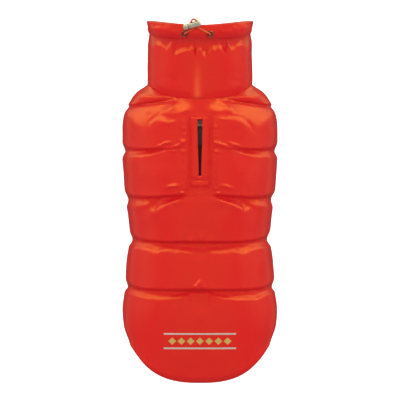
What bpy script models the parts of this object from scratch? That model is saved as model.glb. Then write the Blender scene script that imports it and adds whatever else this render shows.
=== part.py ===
"""Padded winter coat for a small dog, worn shape, made from its cut pieces.

Units are millimetres in the tables and metres in Blender. +X is the dog's right,
+Y points to its head along the back, +Z is up. The origin lies on the coat's inner
face over the withers, where the dog's back carries the coat.

Every cloth piece is a wall between a plain inner surface and a puffed outer one. Both
come from rounded-oval sections, taken at an angle from the middle of the back: 0 is the
middle of the back, 90 the side and 180 the belly.
"""

from collections import namedtuple
import math

import bmesh
import bpy
from mathutils import Matrix, Vector
import numpy as np

MM = 0.001

# ---------------------------------------------------------------- driving sizes (mm)

SEAM_GAP = 0.4
SEAM_WALL = 3.0
SECTION_POWER = 2.2

# Rings round the neck. side, back and throat are the ring's places along Y, and bow says
# how square the ring's dip at the back and the throat is.
Ring = namedtuple("Ring", "name side back throat bow half_width top middle under")
NECK_SEAM = Ring("neck seam", 23.5, 10.0, 8.0, 3.0, 48.7, -5.0, -42.0, -79.0)
CASING_SEAM = Ring("casing seam", 77.0, 69.5, 66.0, 6.0, 46.2, -1.0, -37.5, -74.0)
RIM = Ring("rim", 88.5, 83.4, 78.0, 1.4, 46.9, 0.0, -36.0, -72.0)

# Inner sections of the body behind the shoulders.
Section = namedtuple("Section", "name y half_width spine side belly")
BODY = (
    Section("chest", -21.0, 71.0, 3.2, -51.0, -107.0),
    Section("leg holes", -42.0, 71.6, 5.2, -52.0, -109.0),
    Section("ribs", -63.0, 70.6, 6.2, -52.0, -108.0),
    Section("loin seam", -91.0, 68.2, 5.2, -51.0, -105.0),
    Section("loin", -108.0, 65.8, 3.8, -50.5, -103.0),
    Section("waist", -130.0, 63.8, 2.0, -50.0, -101.0),
    Section("flank", -152.0, 67.2, 1.6, -50.0, -100.0),
    Section("hip", -178.0, 69.4, 1.8, -50.0, -100.0),
    Section("rump", -204.0, 72.2, 0.8, -44.0, -100.0),
    Section("tail root", -219.0, 70.6, -1.0, -39.0, -100.0),
    Section("tail side", -233.5, 66.2, -3.2, -34.0, -100.0),
    Section("tail tip", -274.0, 65.0, -12.0, -30.0, -100.0),
)
CHEST = BODY[0]
SHOULDER_EASE = 2.4

# Quilting seams over the back: y = side + bow * shape(sine of the angle).
Seam = namedtuple("Seam", "name side bow shape wall")
QUILT_SEAMS = (
    Seam("shoulder", 2.5, 22.8, "peak", 4.6),
    Seam("chest", -42.0, 6.2, "peak", 3.0),
    Seam("ribs", -91.0, 5.0, "peak", 3.0),
    Seam("waist", -130.0, -7.0, "dip", 3.0),
    Seam("hip", -178.0, -5.0, "square dip", 3.0),
)
SEAM_SHAPES = {
    "peak": lambda s: (1.0 - s) ** 2,
    "dip": lambda s: 1.0 - s**2,
    "square dip": lambda s: 1.0 - s**6,
}
NARROWEST_CHANNEL = 3.0
WIDE_CHANNEL = 24.0

# How far each channel stands off the seams, over the back and at the sides.
PUFF_BACK = 6.2
PUFF_SIDE = 3.0
PUFF_BELLY = 3.0
TAIL_PUFF = 3.4
TAIL_SIDE_PUFF = 2.4
COLLAR_PUFF = 2.6
COLLAR_SIDE_PUFF = 0.0
CASING_PUFF = 2.4

# Where the padding thins towards an edge, as a share of the panel's half width or length.
BACK_EDGE_ROLL = 0.07
BELLY_EDGE_ROLL = 0.2
TAIL_EDGE_ROLL = 0.12
TAIL_SEAM_ROLL = 0.16
TAIL_HEM_ROLL = 0.1

# The side seam, then the hem that climbs from it to the tail, as angles at places along Y.
# Behind the last seam the hem climbs to the tail's side, ever faster.
Edge = namedtuple("Edge", "y angle")
BACK_EDGE = (
    Edge(24.0, 118.0),
    Edge(-142.0, 118.0),
    Edge(-157.0, 115.0),
    Edge(-178.0, 110.5),
)
TAIL_HALF_WIDTH = 77.1
TAIL_START = -204.0
TAIL_LENGTH = 70.0
TAIL_FALL = 1.6
TAIL_WIDTH_POWER = 2.9
TAIL_HEM_POWER = 1.5

BELLY_END = -144.0
LEG_HOLE_MIDDLE = -28.0
LEG_HOLE_HALF_LENGTH = 22.0
LEG_HOLE_ANGLE = math.radians(36.0)
SIDE_SEAM_GAP_ANGLE = math.radians(0.45)

# Leash slit over the shoulders, closed by a short zip between two lips.
SLIT_HALF_WIDTH = 11.0
SLIT_FRONT = -8.0
SLIT_END = -80.5
SLIT_RAMP = 9.0
LIP_GAP_FRONT = 3.1
LIP_GAP_END = 1.7
LIP_END_WIDTH = 3.0
LIP_STATIONS = 15
LIP_END_STATIONS = 4
LIP_LEVEL = 2.5
LIP_WALL = 1.0
LIP_DOME = 2.8
TAPE_HALF_WIDTH = 10.2
TAPE_LEVEL = 0.4
TAPE_WALL = 0.8
CHAIN_HALF_WIDTH = 2.2
CHAIN_TOP = 2.2

SLIDER_Y = -15.2
SLIDER_SIZE = (5.4, 7.6, 1.6)
SLIDER_LEVEL = 2.5
LUG_SIZE = (0.8, 2.6, 2.6)
LUG_OFFSET = 2.0
HINGE_OFFSET = -2.4
HINGE_LEVEL = 5.8
HINGE_PIN_RADIUS = 0.5
TAB_EYE_RADIUS = 1.35
TAB_BORE_RADIUS = 0.85
TAB_HEAD_WIDTH = 2.6
TAB_WIDTH = 4.6
TAB_LENGTH = 19.0
TAB_WALL = 1.0
TAB_REST_ANGLE = math.radians(6.5)

EYELETS = {"left": (-13.6, 74.2), "right": (8.9, 73.7)}
EYELET_RADIUS = 2.6
EYELET_WIRE = 0.75

CORD_RADIUS = 0.95
LOCK_CENTRE = (-5.4, 83.6)
LOCK_TURN = math.radians(15.0)
LOCK_RADIUS = 3.0
LOCK_LENGTH = 12.6
LOCK_BORE_RADIUS = 1.45
LOCK_BORE_SPACING = 5.4
LOCK_BORE_RISE = math.radians(25.0)
LOCK_LIFT = 0.8
BUTTON_LENGTH = 5.2
BUTTON_RADIUS = 3.4

# Gathers under the cord casing: ridges across the collar's back, from the casing down.
Gather = namedtuple("Gather", "x height width reach")
GATHERS = (
    Gather(-36.0, 1.0, 2.2, 14.0),
    Gather(-30.5, 1.3, 2.0, 13.0),
    Gather(-23.5, 1.5, 2.0, 12.0),
    Gather(-16.5, 1.7, 2.2, 13.0),
    Gather(-9.5, 1.2, 1.8, 11.0),
    Gather(-0.6, 2.3, 2.6, 16.0),
    Gather(7.5, 1.0, 1.8, 10.0),
    Gather(13.5, 1.8, 2.2, 13.0),
    Gather(19.5, 1.5, 1.8, 12.0),
    Gather(24.8, 1.6, 2.0, 14.0),
    Gather(32.5, 1.2, 2.2, 13.0),
)

# Largest folds of the back, alike on both sides: a ridge or trough along a line of
# (distance from the middle, place along Y).
Fold = namedtuple("Fold", "name height width line")
FOLDS = (
    Fold("shoulder ridge", 1.5, 5.0, ((11.0, 7.0), (22.0, 2.0), (34.0, -4.0))),
    Fold("shoulder trough", -1.3, 3.6, ((0.0, -6.5), (35.0, -7.5), (44.0, -11.0), (51.0, -16.0))),
    Fold("shoulder arch", 1.2, 3.6, ((17.0, -12.0), (34.0, -12.0), (45.0, -16.5))),
    Fold("rib arc", 1.5, 4.0, ((8.0, -91.0), (21.0, -94.0), (38.0, -101.0))),
)

# Rows of each wall, as shares of a channel, and columns as angles.
WEDGE_ROWS = (0.0, 0.2, 0.5, 0.8)
CHANNEL_ROWS = (0.0, 0.06, 0.18, 0.38, 0.62, 0.82, 0.94)
TAIL_ROWS = (0.0, 0.04, 0.12, 0.25, 0.42, 0.6, 0.77, 0.9, 0.97, 1.0)
BACK_COLUMNS = (0.0, 4.5, 9.3, 12.5, 17.0, 24.0, 32.0, 40.0, 49.0, 58.0, 68.0, 78.0, 88.0, 98.0, 108.0, 118.0)
BELLY_FRONT_ROWS = (0.0, 0.18, 0.36, 0.5, 0.575, 0.61, 0.64, 0.7, 0.8, 0.9)
BELLY_ROWS = (CHEST.y, -28.0, -35.0, -42.0, -45.0, -47.5, -49.2, -50.4, -53.0, -60.0, -70.0, -80.0, -88.0,
              -91.0, -94.0, -102.0, -112.0, -122.0, -127.5, -130.0, -132.5, -138.0, BELLY_END)
BELLY_COLUMNS = 12
COLLAR_ROWS = (0.0, 0.05, 0.14, 0.3, 0.5, 0.68, 0.78, 0.86, 0.93, 0.98, 1.0)
CASING_ROWS = (0.0, 0.12, 0.35, 0.6, 0.84, 1.0)
LIP_ROWS = (0.0, 0.15, 0.4, 0.65, 0.88, 1.0)

COLOURS = {
    "shell": ((0.72, 0.024, 0.018, 1.0), 0.34, 0.0),
    "tape": ((0.012, 0.010, 0.010, 1.0), 0.7, 0.0),
    "metal": ((0.55, 0.54, 0.50, 1.0), 0.28, 1.0),
    "tab": ((0.010, 0.010, 0.010, 1.0), 0.4, 0.0),
    "cord": ((0.70, 0.045, 0.020, 1.0), 0.6, 0.0),
}


# ---------------------------------------------------------------- sections and surfaces

def signed_power(value, power):
    """The value raised to a power, with its sign kept."""
    return math.copysign(abs(value) ** power, value)


def oval(angle, half_width, top, middle, under):
    """Point (x, z) and outward direction (x, z) of a rounded oval at an angle from its top."""
    reach = top - middle if math.cos(angle) >= 0.0 else middle - under
    across = signed_power(math.sin(angle), 2.0 / SECTION_POWER)
    upward = signed_power(math.cos(angle), 2.0 / SECTION_POWER)
    normal = Vector((
        signed_power(across, SECTION_POWER - 1.0) / half_width,
        signed_power(upward, SECTION_POWER - 1.0) / reach,
    )).normalized()
    return Vector((half_width * across, middle + reach * upward)), normal


def smooth_value(y, rows, column):
    """A table's column at y, on a smooth curve through its rows. y falls from row to row."""
    places = [-row.y for row in rows]
    values = [getattr(row, column) for row in rows]
    slopes = np.gradient(values, places)
    place = min(max(-y, places[0]), places[-1])
    k = min(int(np.searchsorted(places, place, side="right")) - 1, len(places) - 2)
    span = places[k + 1] - places[k]
    t = (place - places[k]) / span
    return (
        values[k] * (1 + 2 * t) * (1 - t) ** 2
        + slopes[k] * span * t * (1 - t) ** 2
        + values[k + 1] * t * t * (3 - 2 * t)
        - slopes[k + 1] * span * t * t * (1 - t)
    )


def ring_y(ring, angle):
    """Where a neck ring lies along Y at an angle."""
    middle = ring.back if math.cos(angle) >= 0.0 else ring.throat
    return ring.side + (middle - ring.side) * (1.0 - abs(math.sin(angle)) ** ring.bow)


def ring_oval(ring, angle):
    """A neck ring's inner point (x, z) and outward direction."""
    return oval(angle, ring.half_width, ring.top, ring.middle, ring.under)


def body_inner(angle, y):
    """The body's inner point and its outward direction in the section's plane."""
    if y <= CHEST.y:
        sizes = [smooth_value(y, BODY, column) for column in ("half_width", "spine", "side", "belly")]
        point, normal = oval(angle, *sizes)
    else:
        neck_y = ring_y(NECK_SEAM, angle)
        share = 1.0 - (1.0 - min(max((neck_y - y) / (neck_y - CHEST.y), 0.0), 1.0)) ** SHOULDER_EASE
        neck, neck_normal = ring_oval(NECK_SEAM, angle)
        chest, chest_normal = oval(angle, CHEST.half_width, CHEST.spine, CHEST.side, CHEST.belly)
        point = neck.lerp(chest, share)
        normal = neck_normal.lerp(chest_normal, share).normalized()
    return Vector((point.x, y, point.y)), Vector((normal.x, 0.0, normal.y))


def tube_inner(near, far, share, angle, shift=0.0):
    """A neck tube's inner point between two rings, and its outward direction."""
    near_point, near_normal = ring_oval(near, angle)
    far_point, far_normal = ring_oval(far, angle)
    point = near_point.lerp(far_point, share)
    normal = near_normal.lerp(far_normal, share).normalized()
    y = ring_y(near, angle) * (1.0 - share) + ring_y(far, angle) * share + shift
    return Vector((point.x, y, point.y)), Vector((normal.x, 0.0, normal.y))


def centre_z(x, y):
    """Height of the back's inner face at a place near the middle of the back."""
    half_width = abs(body_inner(math.pi / 2, y)[0].x)
    angle = math.asin(min(1.0, (abs(x) / half_width) ** (SECTION_POWER / 2.0)))
    return body_inner(math.copysign(angle, x), y)[0].z


def side_angle(y):
    """The back panel's edge, as an angle."""
    places = [-edge.y for edge in BACK_EDGE]
    return math.radians(float(np.interp(-y, places, [edge.angle for edge in BACK_EDGE])))


# ---------------------------------------------------------------- padding

def channel_puff(share):
    """Height of a channel from seam (0) to seam (1), fullest on its front half."""
    return math.sin(math.pi * min(max(share, 0.0), 1.0) ** 0.85) ** 0.7


def puff_at(angle, side, back):
    """A channel's full height at an angle, from its heights at the sides and over the back or throat."""
    return side + (back - side) * math.cos(angle) ** 2


def slit_relief(x, y):
    """0 beside the leash slit, where the wall is stitched down, and 1 away from it."""
    away_x = max(abs(x) - SLIT_HALF_WIDTH - 1.5, 0.0)
    away_y = max(y - SLIT_FRONT - 0.5, SLIT_END - 0.5 - y, 0.0)
    return min(math.hypot(away_x, away_y) / SLIT_RAMP, 1.0) ** 0.6


def fold_relief(x, y):
    """Height that the largest folds add to the back at a place."""
    total = 0.0
    here = Vector((abs(x), y))
    for fold in FOLDS:
        nearest = min(
            (here - closest_on_segment(here, Vector(start), Vector(end))).length
            for start, end in zip(fold.line, fold.line[1:])
        )
        total += fold.height * math.exp(-((nearest / fold.width) ** 2))
    return total


def closest_on_segment(point, start, end):
    """The point of a straight segment that is nearest to a point."""
    along = end - start
    share = min(max((point - start).dot(along) / along.length_squared, 0.0), 1.0)
    return start + along * share


def gather_relief(x, below_casing):
    """Height that the gathers add to the collar, at a distance below the casing's seam."""
    total = 0.0
    for gather in GATHERS:
        along = min(max(below_casing / gather.reach, 0.0), 1.0)
        across = math.exp(-(((x - gather.x) / gather.width) ** 2))
        total += gather.height * across * math.sin(math.pi * along**0.8)
    return total


# ---------------------------------------------------------------- mesh helpers

def collection_named(name):
    """A new collection in the scene."""
    collection = bpy.data.collections.new(name)
    bpy.context.scene.collection.children.link(collection)
    return collection


def finish_for(name):
    """The Principled material of a finish, made once."""
    material = bpy.data.materials.get(name)
    if material is None:
        material = bpy.data.materials.new(name)
        material.use_nodes = True
        colour, roughness, metallic = COLOURS[name]
        shader = material.node_tree.nodes["Principled BSDF"]
        shader.inputs["Base Color"].default_value = colour
        shader.inputs["Roughness"].default_value = roughness
        shader.inputs["Metallic"].default_value = metallic
        material.diffuse_color = colour
    return material


def object_from(name, bm, finish, collection):
    """An object made from a bmesh in metres, with its faces pointing out."""
    bmesh.ops.recalc_face_normals(bm, faces=bm.faces)
    mesh = bpy.data.meshes.new(name)
    bm.to_mesh(mesh)
    bm.free()
    piece = bpy.data.objects.new(name, mesh)
    piece.data.materials.append(finish_for(finish))
    collection.objects.link(piece)
    return piece


def smooth_shade(piece, angle=50.0):
    """Smooth shading with sharp edges kept."""
    piece.data.shade_smooth()
    piece.data.set_sharp_from_angle(angle=math.radians(angle))


def wall_mesh(inner, outer, closed):
    """A closed wall between two grids of points in mm. A closed grid joins its last column to its first."""
    bm = bmesh.new()
    rows, columns = len(inner), len(inner[0])
    sheets = [[[bm.verts.new(point * MM) for point in row] for row in grid] for grid in (inner, outer)]
    spans = [(c, (c + 1) % columns) for c in range(columns if closed else columns - 1)]
    for sheet in sheets:
        for r in range(rows - 1):
            for c, d in spans:
                bm.faces.new((sheet[r][c], sheet[r][d], sheet[r + 1][d], sheet[r + 1][c]))
    low, high = sheets
    for r in (0, rows - 1):
        for c, d in spans:
            bm.faces.new((low[r][c], low[r][d], high[r][d], high[r][c]))
    if not closed:
        for c in (0, columns - 1):
            for r in range(rows - 1):
                bm.faces.new((low[r][c], low[r + 1][c], high[r + 1][c], high[r][c]))
    return bm


def padded_wall(name, sample, rows, columns, closed, collection):
    """A wall whose sample(row, column) gives an inner point, an outward direction and a thickness."""
    samples = [[sample(row, column) for column in columns] for row in rows]
    inner = [[point for point, _, _ in row] for row in samples]
    outer = [[point + normal * wall for point, normal, wall in row] for row in samples]
    piece = object_from(name, wall_mesh(inner, outer, closed), "shell", collection)
    smooth_shade(piece)
    return piece


def box(name, centre, size, finish, collection):
    """A box of a size in mm at a centre in mm."""
    bm = bmesh.new()
    bmesh.ops.create_cube(bm, size=1.0, matrix=Matrix.Diagonal(Vector(size) * MM).to_4x4())
    piece = object_from(name, bm, finish, collection)
    piece.location = Vector(centre) * MM
    return piece


def rod(name, centre, direction, radius, length, segments, finish, collection):
    """A cylinder along a direction, with sizes in mm."""
    bm = bmesh.new()
    turn = Vector((0.0, 0.0, 1.0)).rotation_difference(Vector(direction)).to_matrix().to_4x4()
    bmesh.ops.create_cone(bm, cap_ends=True, segments=segments, radius1=radius * MM, radius2=radius * MM,
                          depth=length * MM, matrix=turn)
    piece = object_from(name, bm, finish, collection)
    piece.location = Vector(centre) * MM
    return piece


def combine(piece, other, operation):
    """Cut another object from a piece, or join it on. The other object becomes a hidden guide."""
    modifier = piece.modifiers.new(other.name, "BOOLEAN")
    modifier.operation = operation
    modifier.solver = "EXACT"
    modifier.object = other
    other.hide_render = True
    other.display_type = "WIRE"


# ---------------------------------------------------------------- cloth pieces

def quilt_y(seam, angle):
    """Where a quilting seam lies along Y at an angle. It never reaches the neck seam."""
    sine = min(abs(math.sin(angle)), 1.0) if abs(angle) < math.pi / 2 else 1.0
    place = seam.side + seam.bow * SEAM_SHAPES[seam.shape](sine)
    return min(place, ring_y(NECK_SEAM, angle) - NARROWEST_CHANNEL)


def tail_end_y(x):
    """Where the tail's round hem lies along Y, at a distance from the middle."""
    share = min(abs(x) / TAIL_HALF_WIDTH, 1.0)
    return TAIL_START - TAIL_LENGTH * (1.0 - share**TAIL_WIDTH_POWER) ** (1.0 / TAIL_FALL)


def back_sample(row, column):
    """One sample of the back panel. A row is (channel, share), a column a share of the edge's angle."""
    channel, share = row
    if channel == len(QUILT_SEAMS):
        return tail_sample(share, column)
    start = QUILT_SEAMS[channel - 1] if channel else None
    end = QUILT_SEAMS[channel]

    def row_y(angle):
        front = quilt_y(start, angle) if start else ring_y(NECK_SEAM, angle) - SEAM_GAP
        return front + (quilt_y(end, angle) - front) * share, front - quilt_y(end, angle)

    edge = side_angle(row_y(math.pi / 2)[0])
    angle = column * edge
    y, height = row_y(angle)
    point, normal = body_inner(angle, y)
    full = puff_at(min(abs(angle), math.pi / 2), PUFF_SIDE, PUFF_BACK) * min(height / WIDE_CHANNEL, 1.0)
    near_edge = min((1.0 - abs(column)) / BACK_EDGE_ROLL, 1.0) ** 0.5
    seam_wall = (start.wall if start else SEAM_WALL) * (1.0 - share) + end.wall * share
    relief = slit_relief(point.x, y)
    padding = seam_wall - SEAM_WALL + full * channel_puff(share) * near_edge + fold_relief(point.x, y)
    return point, normal, max(SEAM_WALL + padding * relief, SEAM_WALL - 0.8)


def tail_sample(share, column):
    """One sample of the tail flap, whose rows run from the last seam to the round hem."""
    last = QUILT_SEAMS[-1]
    start_edge = side_angle(last.side)
    edge = start_edge + (math.pi / 2 - start_edge) * share**TAIL_HEM_POWER
    angle = column * edge
    tip = BODY[-1]
    hem, hem_normal = oval(column * math.pi / 2, tip.half_width, tip.spine, tip.side, tip.belly)
    y = quilt_y(last, angle) * (1.0 - share) + tail_end_y(hem.x + hem_normal.x * SEAM_WALL) * share
    point, normal = body_inner(angle, y)
    rise = min(share / TAIL_SEAM_ROLL, 1.0) ** 0.6
    roll = min((1.0 - share) / TAIL_HEM_ROLL, 1.0) ** 0.5
    near_edge = min((1.0 - abs(column)) / TAIL_EDGE_ROLL, 1.0) ** 0.6
    full = puff_at(min(abs(angle), math.pi / 2), TAIL_SIDE_PUFF, TAIL_PUFF)
    return point, normal, SEAM_WALL + full * rise * roll * near_edge


def back_rows():
    """Rows of the back panel from neck to tail, as (channel, share)."""
    rows = [(0, share) for share in WEDGE_ROWS]
    for channel in range(1, len(QUILT_SEAMS)):
        rows += [(channel, share) for share in CHANNEL_ROWS]
    return rows + [(len(QUILT_SEAMS), share) for share in TAIL_ROWS]


def make_back_panel(collection, cutters):
    """The quilted back with its sides and tail flap, and the leash slit cut through it."""
    right = [angle / BACK_COLUMNS[-1] for angle in BACK_COLUMNS]
    columns = [-share for share in reversed(right[1:])] + right
    panel = padded_wall("back_panel", back_sample, back_rows(), columns, False, collection)
    slit = box("slit_cutter", (0.0, (SLIT_FRONT + SLIT_END) / 2, 6.0),
               (2 * SLIT_HALF_WIDTH, SLIT_FRONT - SLIT_END, 40.0), "shell", cutters)
    combine(panel, slit, "DIFFERENCE")
    return panel


def belly_edge(y):
    """The belly panel's edge as an angle, scooped out round the leg hole."""
    place = min(abs(y - LEG_HOLE_MIDDLE) / LEG_HOLE_HALF_LENGTH, 1.0)
    return side_angle(y) + SIDE_SEAM_GAP_ANGLE + LEG_HOLE_ANGLE * (1.0 - place**3) ** 0.6


def belly_y(row, angle):
    """Where a row (share of the way from the neck seam, end) of the belly panel lies along Y at an angle."""
    share, end = row
    neck = ring_y(NECK_SEAM, angle) - SEAM_GAP
    return neck + (end - neck) * share


def belly_sample(row, column):
    """One sample of the belly panel. A column runs from -1 to 1 between the panel's edges."""
    edge = belly_edge(belly_y(row, side_angle(CHEST.y)))
    angle = math.pi + column * (math.pi - edge)
    y = belly_y(row, angle)
    point, normal = body_inner(angle, y)
    seams = [ring_y(NECK_SEAM, angle)] + [seam.side for seam in QUILT_SEAMS[:4]] + [BELLY_END]
    wall = SEAM_WALL
    for front, back in zip(seams, seams[1:]):
        if back < y <= front:
            full = PUFF_BELLY * min((front - back) / WIDE_CHANNEL, 1.0)
            near_edge = min((1.0 - abs(column)) / BELLY_EDGE_ROLL, 1.0) ** 0.5
            wall += full * channel_puff((front - y) / (front - back)) * near_edge
    return point, normal, wall


def make_belly_panel(collection):
    """The chest and belly panel between the side seams, with a scoop for each foreleg."""
    rows = [(share, CHEST.y) for share in BELLY_FRONT_ROWS] + [(1.0, y) for y in BELLY_ROWS]
    columns = [2.0 * k / BELLY_COLUMNS - 1.0 for k in range(BELLY_COLUMNS + 1)]
    return padded_wall("belly_panel", belly_sample, rows, columns, False, collection)


def tube_columns():
    """Angles round the neck, close together over the back where the gathers are."""
    fine = [math.radians(angle) for angle in np.linspace(-49.5, 49.5, 37)]
    coarse = [math.radians(angle) for angle in np.linspace(49.5, 310.5, 25)[1:-1]]
    return fine + coarse


def collar_sample(share, angle):
    """One sample of the collar, from the neck seam (0) to the casing's seam (1)."""
    point, normal = tube_inner(NECK_SEAM, CASING_SEAM, share, angle, SEAM_GAP * (0.5 - share))
    length = ring_y(CASING_SEAM, angle) - ring_y(NECK_SEAM, angle)
    full = puff_at(angle, COLLAR_SIDE_PUFF, COLLAR_PUFF)
    wall = SEAM_WALL + 1.2 + full * min(channel_puff(share) * 1.15, 1.0)
    if math.cos(angle) > 0.0:
        wall += gather_relief(point.x, (1.0 - share) * length)
    return point, normal, wall


def make_collar(collection):
    """The tall padded collar."""
    return padded_wall("collar", collar_sample, COLLAR_ROWS, tube_columns(), True, collection)


def casing_wall(share):
    """Thickness of the cord casing from its seam (0) to the rim (1)."""
    return SEAM_WALL + 1.0 + CASING_PUFF * math.sin(math.pi * min(share, 0.95) ** 0.8) ** 0.6


def casing_sample(share, angle):
    """One sample of the cord casing, from its seam (0) to the rim (1)."""
    point, normal = tube_inner(CASING_SEAM, RIM, share, angle, SEAM_GAP * (1.0 - share) * 0.5)
    return point, normal, casing_wall(share)


def make_casing(collection):
    """The narrow channel round the collar's rim that holds the drawcord."""
    return padded_wall("cord_casing", casing_sample, CASING_ROWS, tube_columns(), True, collection)


def casing_surface(x, y):
    """The casing's outer point and outward direction at a place over the back."""
    angle = math.asin(x / (CASING_SEAM.half_width + SEAM_WALL + CASING_PUFF))
    seam_y, rim_y = ring_y(CASING_SEAM, angle), ring_y(RIM, angle)
    share = min(max((y - seam_y) / (rim_y - seam_y), 0.0), 1.0)
    point, normal, wall = casing_sample(share, angle)
    return point + normal * wall, normal


# ---------------------------------------------------------------- zip

def lip_gap(y):
    """Half the width between the lips at a place along the zip."""
    share = (SLIT_FRONT - y) / (SLIT_FRONT - SLIT_END)
    return LIP_GAP_FRONT + (LIP_GAP_END - LIP_GAP_FRONT) * min(max(share, 0.0), 1.0) ** 1.3


def frame_stations():
    """Places round a rectangle as shares (x, y) of its half sizes, down one side and up the other."""
    down = [(1.0, 1.0 - 2.0 * k / LIP_STATIONS) for k in range(LIP_STATIONS)]
    across = [(1.0 - 2.0 * k / LIP_END_STATIONS, -1.0) for k in range(LIP_END_STATIONS)]
    return down + across + [(-x, -y) for x, y in down + across]


def placket_sample(across, station):
    """One sample of the lips' frame, across from the gap (0) to the slit's edge (1)."""
    side, end = station
    reach = (SLIT_FRONT - SLIT_END) / 2
    middle = (SLIT_FRONT + SLIT_END) / 2
    gap_y = middle + (reach - LIP_END_WIDTH) * end
    gap = Vector((lip_gap(gap_y) * side, gap_y))
    edge = Vector(((SLIT_HALF_WIDTH - SEAM_GAP) * side, middle + (reach - SEAM_GAP) * end))
    place = gap.lerp(edge, across)
    point = Vector((place.x, place.y, centre_z(place.x, place.y) + LIP_LEVEL))
    dome = math.sin(math.pi * min(across * 0.9 + 0.08, 1.0)) ** 0.7
    return point, Vector((0.0, 0.0, 1.0)), LIP_WALL + LIP_DOME * dome


def make_placket(collection):
    """The two padded lips that close over the zip, joined at both ends."""
    return padded_wall("zip_placket", placket_sample, LIP_ROWS, frame_stations(), True, collection)


def make_zip_tape(collection):
    """The zip's tapes with the closed chain raised along their middle."""
    outline = (
        (-TAPE_HALF_WIDTH, TAPE_LEVEL), (TAPE_HALF_WIDTH, TAPE_LEVEL),
        (TAPE_HALF_WIDTH, TAPE_LEVEL + TAPE_WALL), (CHAIN_HALF_WIDTH, TAPE_LEVEL + TAPE_WALL),
        (CHAIN_HALF_WIDTH, CHAIN_TOP), (-CHAIN_HALF_WIDTH, CHAIN_TOP),
        (-CHAIN_HALF_WIDTH, TAPE_LEVEL + TAPE_WALL), (-TAPE_HALF_WIDTH, TAPE_LEVEL + TAPE_WALL),
    )
    bm = bmesh.new()
    rings = []
    for y in np.linspace(SLIT_FRONT - SEAM_GAP - 0.4, SLIT_END + SEAM_GAP + 0.4, 9):
        rings.append([bm.verts.new(Vector((x, y, centre_z(0.0, y) + level)) * MM) for x, level in outline])
    for near, far in zip(rings, rings[1:]):
        for k in range(len(outline)):
            j = (k + 1) % len(outline)
            bm.faces.new((near[k], near[j], far[j], far[k]))
    bm.faces.new(rings[0])
    bm.faces.new(rings[-1])
    return object_from("zip_tape", bm, "tape", collection)


def zip_slope(y):
    """The back's slope along Y, as a turn about X."""
    return math.atan2(centre_z(0.0, y + 5.0) - centre_z(0.0, y - 5.0), 10.0)


def hinge_place():
    """The pull tab's hinge in the part's frame (mm)."""
    slope = zip_slope(SLIDER_Y)
    offset = Matrix.Rotation(slope, 3, "X") @ Vector((0.0, HINGE_OFFSET, HINGE_LEVEL))
    return Vector((0.0, SLIDER_Y, centre_z(0.0, SLIDER_Y))) + offset


def make_slider(collection, cutters):
    """The slider at the zip's front end, with two lugs and the pin that the pull tab turns on."""
    slope = zip_slope(SLIDER_Y)
    turn = Matrix.Rotation(slope, 3, "X")
    base = Vector((0.0, SLIDER_Y, centre_z(0.0, SLIDER_Y)))

    def place(x, y, z):
        return base + turn @ Vector((x, y, z))

    middle = place(0.0, 0.0, SLIDER_LEVEL + SLIDER_SIZE[2] / 2)
    slider = box("zip_slider", middle, SLIDER_SIZE, "metal", collection)
    slider.rotation_euler.x = slope
    bevel = slider.modifiers.new("rounded edges", "BEVEL")
    bevel.width = 0.5 * MM
    bevel.segments = 2
    lug_middle = SLIDER_LEVEL + SLIDER_SIZE[2] + LUG_SIZE[2] / 2 - 0.3
    for side in (-1, 1):
        lug = box(f"lug_{side}", place(side * LUG_OFFSET, HINGE_OFFSET, lug_middle), LUG_SIZE, "metal", cutters)
        lug.rotation_euler.x = slope
        combine(slider, lug, "UNION")
    pin = rod("hinge_pin", hinge_place(), (1.0, 0.0, 0.0), HINGE_PIN_RADIUS, 2 * LUG_OFFSET, 12,
              "metal", cutters)
    combine(slider, pin, "UNION")
    return slider


def make_pull_tab(collection, cutters):
    """The pull tab: an eye round the slider's pin and a flat tongue that lies along the zip."""
    hinge = hinge_place()
    tilt = zip_slope(SLIDER_Y) + TAB_REST_ANGLE
    turn = Matrix.Rotation(tilt, 3, "X")
    tab = rod("zip_pull_tab", hinge, (1.0, 0.0, 0.0), TAB_EYE_RADIUS, TAB_HEAD_WIDTH, 16, "tab", collection)
    neck_size = (TAB_HEAD_WIDTH, 3.0, TAB_WALL)
    neck = box("tab_neck", hinge + turn @ Vector((0.0, -2.3, 0.0)), neck_size, "tab", cutters)
    neck.rotation_euler.x = tilt
    combine(tab, neck, "UNION")
    tongue_length = TAB_LENGTH - 3.2
    tongue = box("tab_tongue", hinge + turn @ Vector((0.0, -3.2 - tongue_length / 2, 0.0)),
                 (TAB_WIDTH, tongue_length, TAB_WALL), "tab", cutters)
    tongue.rotation_euler.x = tilt
    rounding = tongue.modifiers.new("rounded edges", "BEVEL")
    rounding.width = 0.35 * MM
    rounding.segments = 2
    combine(tab, tongue, "UNION")
    bore = rod("tab_bore", hinge, (1.0, 0.0, 0.0), TAB_BORE_RADIUS, 2 * TAB_HEAD_WIDTH, 16, "tab", cutters)
    combine(tab, bore, "DIFFERENCE")
    return tab


# ---------------------------------------------------------------- drawcord

def make_eyelet(side, place, collection):
    """One metal eyelet on the casing, where the drawcord comes out."""
    surface, normal = casing_surface(*place)
    bpy.ops.mesh.primitive_torus_add(major_radius=EYELET_RADIUS * MM, minor_radius=EYELET_WIRE * MM,
                                     major_segments=18, minor_segments=8)
    eyelet = bpy.context.object
    eyelet.name = eyelet.data.name = f"eyelet_{side}"
    for owner in list(eyelet.users_collection):
        owner.objects.unlink(eyelet)
    collection.objects.link(eyelet)
    eyelet.data.materials.append(finish_for("metal"))
    eyelet.location = (surface + normal * (EYELET_WIRE + SEAM_GAP)) * MM
    eyelet.rotation_mode = "QUATERNION"
    eyelet.rotation_quaternion = Vector((0.0, 0.0, 1.0)).rotation_difference(normal)
    smooth_shade(eyelet)
    return eyelet


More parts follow.
